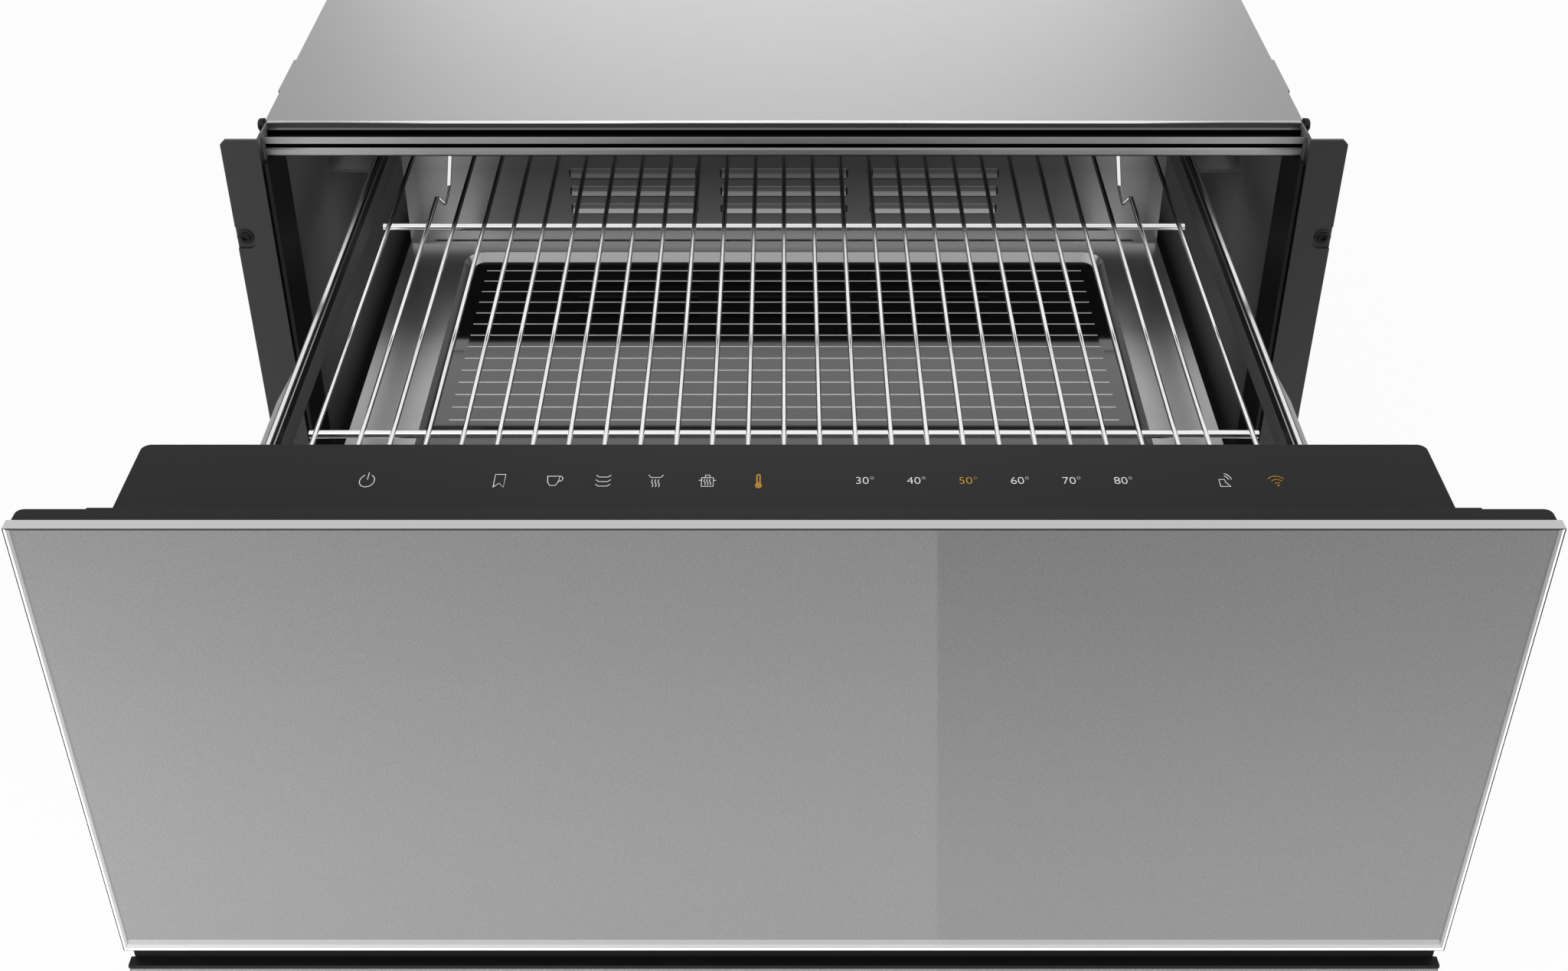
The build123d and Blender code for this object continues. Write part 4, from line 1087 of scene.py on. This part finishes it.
@dataclass
class Slides:
    """The telescopic slides and the bright rails that carry the tray."""

    finishes: Finishes
    brace_reach: float = 2.1 * MM
    brace_start: float = 202.0 * MM
    brace_taper: float = 26.0 * MM
    brace_end: float = 70.0 * MM
    brace_drops: Flat = (5.5 * MM, 0.8 * MM)

    @staticmethod
    def section(outer: float, top: float, foot: float) -> list[tuple[Flat, str]]:
        """Corners of a rail's section, each with the finish of the run that follows it.

        Args:
            outer: how far the rail's outer face is from the middle.
            top: height of its crown.
            foot: height of its lower edge.

        Returns:
            Distances from the middle, with their heights and finishes.
        """
        shelf = top - 6.0 * MM
        # On the undercut steps the trim's black and the skirt's darker enamel are painted shade.
        steps = (
            (0.0, shelf, "skirt"),
            (0.0, top - 0.7 * MM, "skirt"),
            (0.3 * MM, top, "skirt"),
            (0.8 * MM, top, "rail"),
            (2.5 * MM, top, "rail"),
            (2.8 * MM, top - 0.6 * MM, "trim"),
            (3.0 * MM, top - 1.4 * MM, "trim"),
            (3.7 * MM, top - 1.4 * MM, "trim"),
            (3.9 * MM, top - 0.9 * MM, "brace"),
            (4.5 * MM, top - 0.9 * MM, "trim"),
            (4.8 * MM, shelf, "skirt"),
            (4.8 * MM, foot, "skirt"),
            (4.0 * MM, foot, "skirt"),
            (4.0 * MM, shelf, "skirt"),
        )
        return [((outer - inset, height), finish) for inset, height, finish in steps]

    def rail(self, side: str, sign: int) -> None:
        """Draw one rail out along the drawer, with its undercut steps black as painted shade.

        Args:
            side: the side it is on.
            sign: which way that side lies along X.
        """
        node = f"side_rail_{side}"
        low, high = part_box(node)
        outer = max(abs(low.x), abs(high.x))
        section = self.section(outer, high.z, low.z)
        slots = ("rail", "trim", "skirt", "brace")
        near, far = ([(sign * x, y, z) for (x, z), _ in section] for y in (low.y, high.y))
        runs = [finish for _, finish in section]
        mesh = drawn_out(near, far, runs, slots, "skirt")
        piece = mesh_piece(f"rail_{side}", "drawer", mesh, self.finishes.slots(slots))
        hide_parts(node)
        self.brace(side, sign * outer, sign, low, high)

    def brace(self, side: str, face: float, sign: int, low: Vector, high: Vector) -> None:
        """Add the thin plate that stiffens the rail's front end from outside.

        Args:
            side: the side it is on.
            face: where the rail's outer face is.
            sign: which way that side lies along X.
            low: the rail's lower corner.
            high: the rail's upper corner.
        """
        start, end = low.y + self.brace_start, low.y + self.brace_end
        reach = face + sign * self.brace_reach
        plan = ((face, start), (reach, start - self.brace_taper), (reach, end), (face, end))
        foot, top = ([(x, y, high.z - drop) for x, y in plan] for drop in self.brace_drops)
        slots = ("brace",)
        mesh = drawn_out(foot, top, slots * len(plan), slots, "brace")
        mesh_piece(f"rail_brace_{side}", "drawer", mesh, self.finishes.slots(slots))

    def build(self) -> None:
        """Build the rails and dress the slides' members."""
        for side, sign in SIDES.items():
            self.rail(side, sign)
            # The slides' members take the same black, as painted shade beside the rails.
            self.finishes.dress("trim", f"slide_fixed_{side}", f"slide_middle_{side}")
            self.finishes.dress("wall", f"slide_bracket_{side}_front", f"slide_bracket_{side}_rear")
        LOG.info("slides built")


@dataclass
class Header:
    """The profile across the top of the opening: two beads under a dark channel and a lip, both
    dark as painted shade.
    """

    finishes: Finishes
    foot_round: float = 1.1 * MM
    bead_drop: float = 1.7 * MM
    cover_gap: float = 0.05 * MM
    heel: float = 3.0 * MM
    hem_round: float = 1.25 * MM
    hem_gap: float = 0.02 * MM
    strip: float = 2.8 * MM
    channel_edge: float = 0.1 * MM
    channel_depth: float = 2.8 * MM
    upper_bead: float = 3.8 * MM
    groove: float = 3.4 * MM
    groove_depth: float = 2.4 * MM
    small_round: float = 0.15 * MM
    crown: float = 0.2 * MM

    @staticmethod
    def rounded(corner: Flat, radius: float, start: float) -> list[Flat]:
        """Points round one of the section's front corners.

        Args:
            corner: where the corner would be without its rounding.
            radius: its radius.
            start: the angle that its quarter turn starts at: 270 at a foot and 180 at a top.

        Returns:
            Its points.
        """
        rise = radius if start == 270 else -radius
        return arc((corner[0] + radius, corner[1] + rise), radius, start, start - 90, 5)

    def section(self) -> list[tuple[Flat, str]]:
        """Corners of the profile's section, each with the finish of the run that follows it."""
        low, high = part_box("header_profile")
        cover_low, cover_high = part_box("top_cover")
        front, back, bottom = low.y, high.y, low.z
        bead_top = high.z - self.bead_drop
        upper_low = bead_top - self.upper_bead
        lower_top = upper_low - self.groove
        groove_y = front + self.groove_depth
        bead_y = front + self.small_round
        channel_y = bead_y + self.channel_edge
        channel_z = bead_top - self.channel_depth
        cover_y = cover_low.y - self.cover_gap
        lip_y = cover_y - self.hem_round
        strip_y = lip_y - self.strip
        hem_top = cover_high.z - self.hem_gap
        heel_y = back - self.heel
        # The channel, strip and lip finishes are dark as painted shade; the channel's groove is
        # real.
        runs: list[tuple[list[Flat], str]] = [
            ([(back, bottom)], "header"),
            (self.rounded((front, bottom), self.foot_round, 270), "header"),
            ([(front, lower_top - 2.0 * self.crown)], "header"),
            (self.rounded((front, lower_top), self.crown, 180), "header"),
            ([(groove_y, lower_top), (groove_y, upper_low)], "channel"),
            (self.rounded((front, upper_low), self.small_round, 270), "header"),
            (self.rounded((front, bead_top), self.small_round, 180), "header"),
            ([(channel_y, bead_top), (channel_y, channel_z), (strip_y, channel_z)], "channel"),
            ([(strip_y, bead_top)], "strip"),
            ([(lip_y, bead_top)], "lip"),
            (self.rounded((lip_y, hem_top), self.hem_round, 180), "hem"),
            ([(cover_y, bead_top), (heel_y, bead_top), (heel_y, high.z), (back, high.z)], "header"),
        ]
        return [(point, finish) for points, finish in runs for point in points]

    def build(self) -> None:
        """Draw the section out to the profile's length."""
        low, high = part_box("header_profile")
        section = self.section()
        slots = ("header", "channel", "lip", "strip", "hem")
        near, far = ([(x, *point) for point, _ in section] for x in (low.x, high.x))
        runs = [finish for _, finish in section]
        mesh = drawn_out(near, far, runs, slots, "channel", ("header", "hem"))
        profile = mesh_piece("header_beads", "housing", mesh, self.finishes.slots(slots))
        # The wires just under the profile don't show it, so that they stay bright.
        profile.visible_glossy = False
        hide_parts("header_profile")
        self.finishes.dress("rubber", "header_seal")
        LOG.info("header built")


@dataclass
class Housing:
    """The steel housing with the brackets that screw to the cabinet."""

    finishes: Finishes
    washer_radius: float = 5.4 * MM
    washer_hole: float = 2.8 * MM
    washer_height: float = 0.9 * MM
    washer_brim: float = 2.1 * MM
    washer_edge: float = 0.4 * MM
    head_height: float = 1.8 * MM

    def washer(self, screw: str, side: str) -> None:
        """Put a black washer under a screw's head, in the flange's recess, as painted shade of the
        recess.

        Args:
            screw: the screw's node.
            side: the side of the housing that it is on.
        """
        low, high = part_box(screw)
        head_radius = (high.x - low.x) / 2
        centre_x, centre_z = (low.x + high.x) / 2, (low.z + high.z) / 2
        seat_y = low.y + self.head_height
        # The washer stays inside the front's width.
        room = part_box("front_glass")[1].x - abs(centre_x)
        outer = min(self.washer_radius, head_radius + self.washer_brim, room)
        hole, height, edge = self.washer_hole, self.washer_height, self.washer_edge
        section = (
            (hole, 0.0),
            (hole, height),
            (outer - edge, height),
            (outer, height - edge),
            (outer, 0.0),
        )
        sides = 32
        mesh = bmesh.new()
        circles = [
            [
                mesh.verts.new((x, seat_y - rise, z))
                for x, z in arc((centre_x, centre_z), radius, 0, 360, sides)[:-1]
            ]
            for radius, rise in section
        ]
        for here, following in zip(circles, circles[1:] + circles[:1]):
            for step in range(sides):
                after = (step + 1) % sides
                mesh.faces.new((here[step], here[after], following[after], following[step]))
        bmesh.ops.recalc_face_normals(mesh, faces=mesh.faces[:])
        # The dark ring stands for the recess's shade.
        name = screw.replace("cabinet_screw", "washer")
        mesh_piece(name, "housing", mesh, self.finishes.slots(("rubber",)))
        LOG.info("washer on the %s flange built", side)

    def build(self) -> None:
        """Dress the housing's sheets, brackets and screws."""
        self.finishes.dress("cover", "top_cover")
        self.finishes.dress("wall", "side_panel_left", "side_panel_right")
        self.finishes.dress("zinc", "base_pan", "back_panel")
        for side in SIDES:
            self.finishes.dress("trim", f"side_trim_{side}")
            self.finishes.dress("powder", f"mounting_bracket_{side}")
            for row in ("upper", "lower"):
                self.finishes.dress("screw", f"cabinet_screw_{side}_{row}")
                self.washer(f"cabinet_screw_{side}_{row}", side)
            self.finishes.dress("screw", f"corner_screw_{side}")
        self.finishes.dress("grey_plastic", "push_latch_body", "terminal_box")
        self.finishes.dress("moulded", "push_latch_plunger", "cable_gland")
        LOG.info("housing built")


# ---- Studio --------------------------------------------------------------------


class LampShape(Enum):
    """Outline of a lamp's face, with its share of the rectangle round it."""

    RECTANGLE = 1.0
    ELLIPSE = math.pi / 4


@dataclass(frozen=True)
class Lamp:
    """One soft lamp.

    Attributes:
        name: its name.
        place: where it hangs.
        target: the point it faces.
        size: its width and height.
        radiance: how bright its face is, where one is white paper in this light.
        in_reflections: whether metal and glass show its shape.
        shape: outline of its face.
    """

    name: str
    place: Point
    target: Point
    size: Flat
    radiance: float
    in_reflections: bool = True
    shape: LampShape = LampShape.RECTANGLE

    def hang(self) -> None:
        """Put the lamp in the scene."""
        light = bpy.data.lights.new(self.name, "AREA")
        light.shape = self.shape.name
        light.size, light.size_y = self.size
        # Blender spreads an area lamp's power over pi times its area.
        light.energy = self.radiance * math.pi * self.size[0] * self.size[1] * self.shape.value
        lamp = bpy.data.objects.new(self.name, light)
        lamp.location = self.place
        direction = Vector(self.target) - Vector(self.place)
        lamp.rotation_euler = direction.to_track_quat("-Z", "Y").to_euler()
        lamp.visible_camera = False
        lamp.visible_glossy = self.in_reflections
        bpy.context.scene.collection.objects.link(lamp)


@dataclass
class Studio:
    """Pale floor, soft lamps, the cards that gloss shows and the camera."""

    focal_length: float = 44.61
    sensor_width: float = 36.0
    camera_place: Point = (0.0, -1.1991, 0.727)
    camera_pitch: float = 54.63
    floor_size: float = 30.0
    # How much of its white the floor shows by itself; the rest takes the shadow.
    floor_share: float = 0.95
    world_strength: float = 0.45
    lamps: tuple[Lamp, ...] = (
        Lamp("key_lamp", (-1.2, -1.6, 2.2), (0.0, -0.3, 0.2), (1.6, 1.6), 0.7),
        Lamp("fill_lamp", (1.6, -1.4, 1.8), (0.0, -0.3, 0.2), (1.2, 1.2), 0.5),
        # Low behind the housing, so that the satin top shows it as a broad soft glow.
        Lamp(
            "back_lamp",
            (0.0, 2.6, 0.95),
            (0.0, 0.0, 0.28),
            (1.8, 1.5),
            1.6,
            shape=LampShape.ELLIPSE,
        ),
        # Near the glass, so that it lightens towards its foot and its ends.
        Lamp("foot_lamp", (-0.1, -0.87, 0.04), (-0.1, -0.6, 0.12), (1.1, 0.12), 5.6, False),
        Lamp("left_lamp", (-0.55, -0.8, 0.2), (-0.3, -0.6, 0.17), (0.4, 0.4), 3.0, False),
        Lamp("right_lamp", (0.55, -0.8, 0.2), (0.3, -0.6, 0.17), (0.4, 0.4), 1.8, False),
    )

    @staticmethod
    def stand(
        name: str, corners: Sequence[Point], material: bpy.types.Material
    ) -> bpy.types.Object:
        """Put a flat sheet in the studio, which isn't part of the object.

        Args:
            name: what it is.
            corners: its corners.
            material: its material.

        Returns:
            The sheet.
        """
        mesh = bmesh.new()
        mesh.faces.new([mesh.verts.new(corner) for corner in corners])
        data = bpy.data.meshes.new(name)
        mesh.to_mesh(data)
        mesh.free()
        data.materials.append(material)
        sheet = bpy.data.objects.new(name, data)
        bpy.context.scene.collection.objects.link(sheet)
        return sheet

    @staticmethod
    def highest(
        tree: bpy.types.NodeTree, numbers: Sequence[bpy.types.NodeSocket]
    ) -> bpy.types.NodeSocket:
        """Return the highest of several numbers."""
        top = numbers[0]
        for number in numbers[1:]:
            top = add_node(
                tree, "ShaderNodeMath", {"operation": "MAXIMUM"}, {0: top, 1: number}
            ).outputs[0]
        return top

    def seen(self, tree: bpy.types.NodeTree) -> bpy.types.NodeSocket:
        """Return one for rays that show a surface, and nought for those that light it."""
        path = add_node(tree, "ShaderNodeLightPath").outputs
        kinds = ("Camera", "Glossy", "Transmission")
        return self.highest(tree, [path[f"Is {kind} Ray"] for kind in kinds])

    def floor(self) -> None:
        """Lay a floor that shows white and still takes the object's shadow."""
        half = self.floor_size / 2
        corners = ((-half, -half, 0.0), (half, -half, 0.0), (half, half, 0.0), (-half, half, 0.0))
        material, tree, output = new_material("studio_paper_white")
        self.stand("studio_floor", corners, material)
        matt = add_node(tree, "ShaderNodeBsdfDiffuse", {"Color": linear("#F6F6F6")})
        white = add_node(tree, "ShaderNodeEmission", {"Strength": 1.0})
        share = add_node(
            tree,
            "ShaderNodeMath",
            {"operation": "MULTIPLY", 1: self.floor_share},
            {0: self.seen(tree)},
        ).outputs[0]
        mixed = add_node(
            tree,
            "ShaderNodeMixShader",
            None,
            {0: share, 1: matt.outputs["BSDF"], 2: white.outputs["Emission"]},
        )
        tree.links.new(mixed.outputs["Shader"], output.inputs["Surface"])

    def card(
        self, name: str, corners: Sequence[Point]
    ) -> tuple[bpy.types.NodeTree, dict[str, bpy.types.NodeSocket]]:
        """Add a flat card that only gloss shows.

        Args:
            name: what the card is.
            corners: its corners.

        Returns:
            The tree of its material, and the numbers that its light can follow: the place that is
            seen on it, the ray's length and how many times gloss has turned the ray.
        """
        material, tree, _ = new_material(f"studio_{name}_card")
        card = self.stand(f"studio_{name}", corners, material)
        for ray in ("camera", "diffuse", "transmission", "volume_scatter", "shadow"):
            setattr(card, f"visible_{ray}", False)
        place = add_node(tree, "ShaderNodeTexCoord").outputs["Object"]
        axes = add_node(tree, "ShaderNodeSeparateXYZ", None, {"Vector": place}).outputs
        path = add_node(tree, "ShaderNodeLightPath").outputs
        sources = {axis: axes[axis] for axis in "XYZ"}
        sources.update({source: path[source] for source in ("Ray Length", "Glossy Depth")})
        return tree, sources

    @staticmethod
    def sheet(low: Point, high: Point) -> list[Point]:
        """Corners of a flat upright or level card between two opposite corners."""
        if low[0] == high[0]:
            return [low, (low[0], high[1], low[2]), high, (low[0], low[1], high[2])]
        return [low, (high[0], low[1], low[2]), high, (low[0], high[1], high[2])]

    @staticmethod
    def glow(
        tree: bpy.types.NodeTree,
        strength: bpy.types.NodeSocket,
        share: bpy.types.NodeSocket | None = None,
    ) -> None:
        """Make a card's material shine.

        Args:
            tree: the material's node tree.
            strength: how strongly it shines.
            share: how solid the card is, where it lets some light through.
        """
        shine = add_node(tree, "ShaderNodeEmission", None, {"Strength": strength}).outputs[0]
        if share is not None:
            clear = add_node(tree, "ShaderNodeBsdfTransparent").outputs[0]
            shine = add_node(
                tree, "ShaderNodeMixShader", None, {0: share, 1: clear, 2: shine}
            ).outputs[0]
        output = next(node for node in tree.nodes if node.type == "OUTPUT_MATERIAL")
        tree.links.new(shine, output.inputs["Surface"])

    def flag(self) -> None:
        """Lay a dark card before the front, which only its gloss shows.

        The card gives the glass the soft upright edge of a studio's reflection.
        """
        near, far, right, height = -0.64, -1.7, 1.6, 0.002
        # The left edge slants, so that its reflection stands upright.
        edge, slant = 0.0315, -0.0643
        tree, sources = self.card(
            "flag",
            [
                (edge + slant * near, near, height),
                (edge + slant * far, far, height),
                (right, far, height),
                (right, near, height),
            ],
        )
        fades = (
            Fade("Y", -0.66, -0.95, 0.55, 0.0),
            Fade("X", 0.1, 1.5, 0.0, 0.7),
            Fade("Y", -1.2, far, 0.0, 1.0),
        )
        self.glow(tree, self.highest(tree, [follow(tree, sources, (fade,)) for fade in fades]))

    def ceiling(self) -> None:
        """Hang a bright card under the cover, which only gloss below it shows.

        The plate and the tray's floor show all of it. The wires and the rails, which lie
        close under it, show its front part, so that they turn dark towards the back.
        """
        height = 0.2862
        corners = self.sheet((-0.2735, -0.2455, height), (0.2735, 0.16, height))
        tree, sources = self.card("ceiling", corners)
        # Only rays as long as the plate's show the part of the card that is further back.
        reach = (
            Fade("Ray Length", 0.235, 0.25, 0.0, 1.0),
            Fade("Ray Length", 0.31, 0.34, 0.0, 0.0),
        )
        for_wires = (Fade("Y", -0.108, -0.092, 1.0, 0.02),)
        for_plate = (Fade("Y", -0.02, 0.05, 1.6, 0.3), Fade("Y", 0.09, 0.12, 0.0, 1.2))
        share, wires, plate = (
            follow(tree, sources, fades) for fades in (reach, for_wires, for_plate)
        )
        strength = add_node(
            tree, "ShaderNodeMix", {"data_type": "FLOAT"}, {0: share, 2: wires, 3: plate}
        ).outputs[0]
        # A second reflection, such as the rear panel's in the plate, stays dark.
        second = Fade("Glossy Depth", 1.4, 1.6, 1.0, 0.1, True)
        self.glow(tree, follow(tree, sources, (second,), strength))

    def small_cards(self) -> None:
        """Add the small cards that carry the ceiling's light on round the opening."""
        across, face, low = 0.27, -0.2478, 0.2736
        places = {
            "header_face": ((-across, face, low), (across, face, 0.2886), 1.0, 0.0),
            "header_foot": ((-across, face, low), (across, -0.2405, low), 1.0, 0.0),
        }
        for side, sign in SIDES.items():
            wall = sign * 0.2728
            # The wall's own gloss looks through its card.
            places[f"wall_{side}"] = ((wall, -0.2455, 0.2), (wall, -0.06, 0.285), 1.0, 0.02)
            inner, outer, tab = sign * 0.2045, sign * 0.2215, 0.2112
            places[f"tab_{side}"] = ((inner, -0.1292, tab), (outer, -0.1147, tab), 1.6, 0.0)
        for name, (start, end, strength, gap) in places.items():
            tree, sources = self.card(name, self.sheet(start, end))
            light = follow(tree, sources, (Fade("Glossy Depth", 1.4, 1.6, strength, 0.0),))
            clear = (Fade("Ray Length", gap, gap + 0.005, 0.0, 1.0),) if gap else ()
            self.glow(tree, light, follow(tree, sources, clear))

    def rear_flag(self) -> None:
        """Hold a dark card before the rear panel, which the plate shows in its place.

        The panel's own gloss looks through it, and its foot lightens the floor's rear edge.
        """
        half, face_y = 0.2335, -0.1149
        corners = self.sheet((-half, face_y, 0.1465), (half, face_y, 0.2134))
        tree, sources = self.card("rear_flag", corners)
        strength = follow(tree, sources, (Fade("Z", 0.152, 0.1565, 0.45, 0.03),))
        clear = (Fade("Ray Length", 0.004, 0.005, 0.0, 1.0),)
        self.glow(tree, strength, follow(tree, sources, clear))

    def world(self) -> None:
        """Surround the object with white that lights it softly."""
        world = bpy.data.worlds.new("studio_white")
        bpy.context.scene.world = world
        world.use_nodes = True
        tree = world.node_tree
        tree.nodes.clear()
        levels = {"data_type": "FLOAT", 2: self.world_strength, 3: 1.0}
        strength = add_node(tree, "ShaderNodeMix", levels, {0: self.seen(tree)}).outputs[0]
        background = add_node(
            tree, "ShaderNodeBackground", {"Color": linear("#FFFFFF")}, {"Strength": strength}
        )
        output = add_node(tree, "ShaderNodeOutputWorld")
        tree.links.new(background.outputs["Background"], output.inputs["Surface"])

    def camera(self) -> None:
        """Stand the camera where the photograph was taken from."""
        data = bpy.data.cameras.new("camera")
        data.lens = self.focal_length
        data.sensor_width = self.sensor_width
        camera = bpy.data.objects.new("camera", data)
        camera.location = self.camera_place
        camera.rotation_euler = (math.radians(self.camera_pitch), 0.0, 0.0)
        bpy.context.scene.collection.objects.link(camera)
        bpy.context.scene.camera = camera

    def build(self) -> None:
        """Set up the studio."""
        self.floor()
        self.flag()
        self.ceiling()
        self.small_cards()
        self.rear_flag()
        self.world()
        for lamp in self.lamps:
            lamp.hang()
        self.camera()
        bpy.context.scene.view_settings.view_transform = "Standard"
        LOG.info("studio built")


def main() -> None:
    """Build every sub-assembly in order."""
    logging.basicConfig(level=logging.INFO)
    finishes = Finishes()
    assemblies = (
        Studio(),
        Housing(finishes),
        Header(finishes),
        Slides(finishes),
        FrontPanel(finishes),
        ControlBox(finishes),
        HeatedTray(finishes),
        WireRack(finishes),
    )
    for assembly in assemblies:
        assembly.build()


if __name__ == "__main__":
    main()
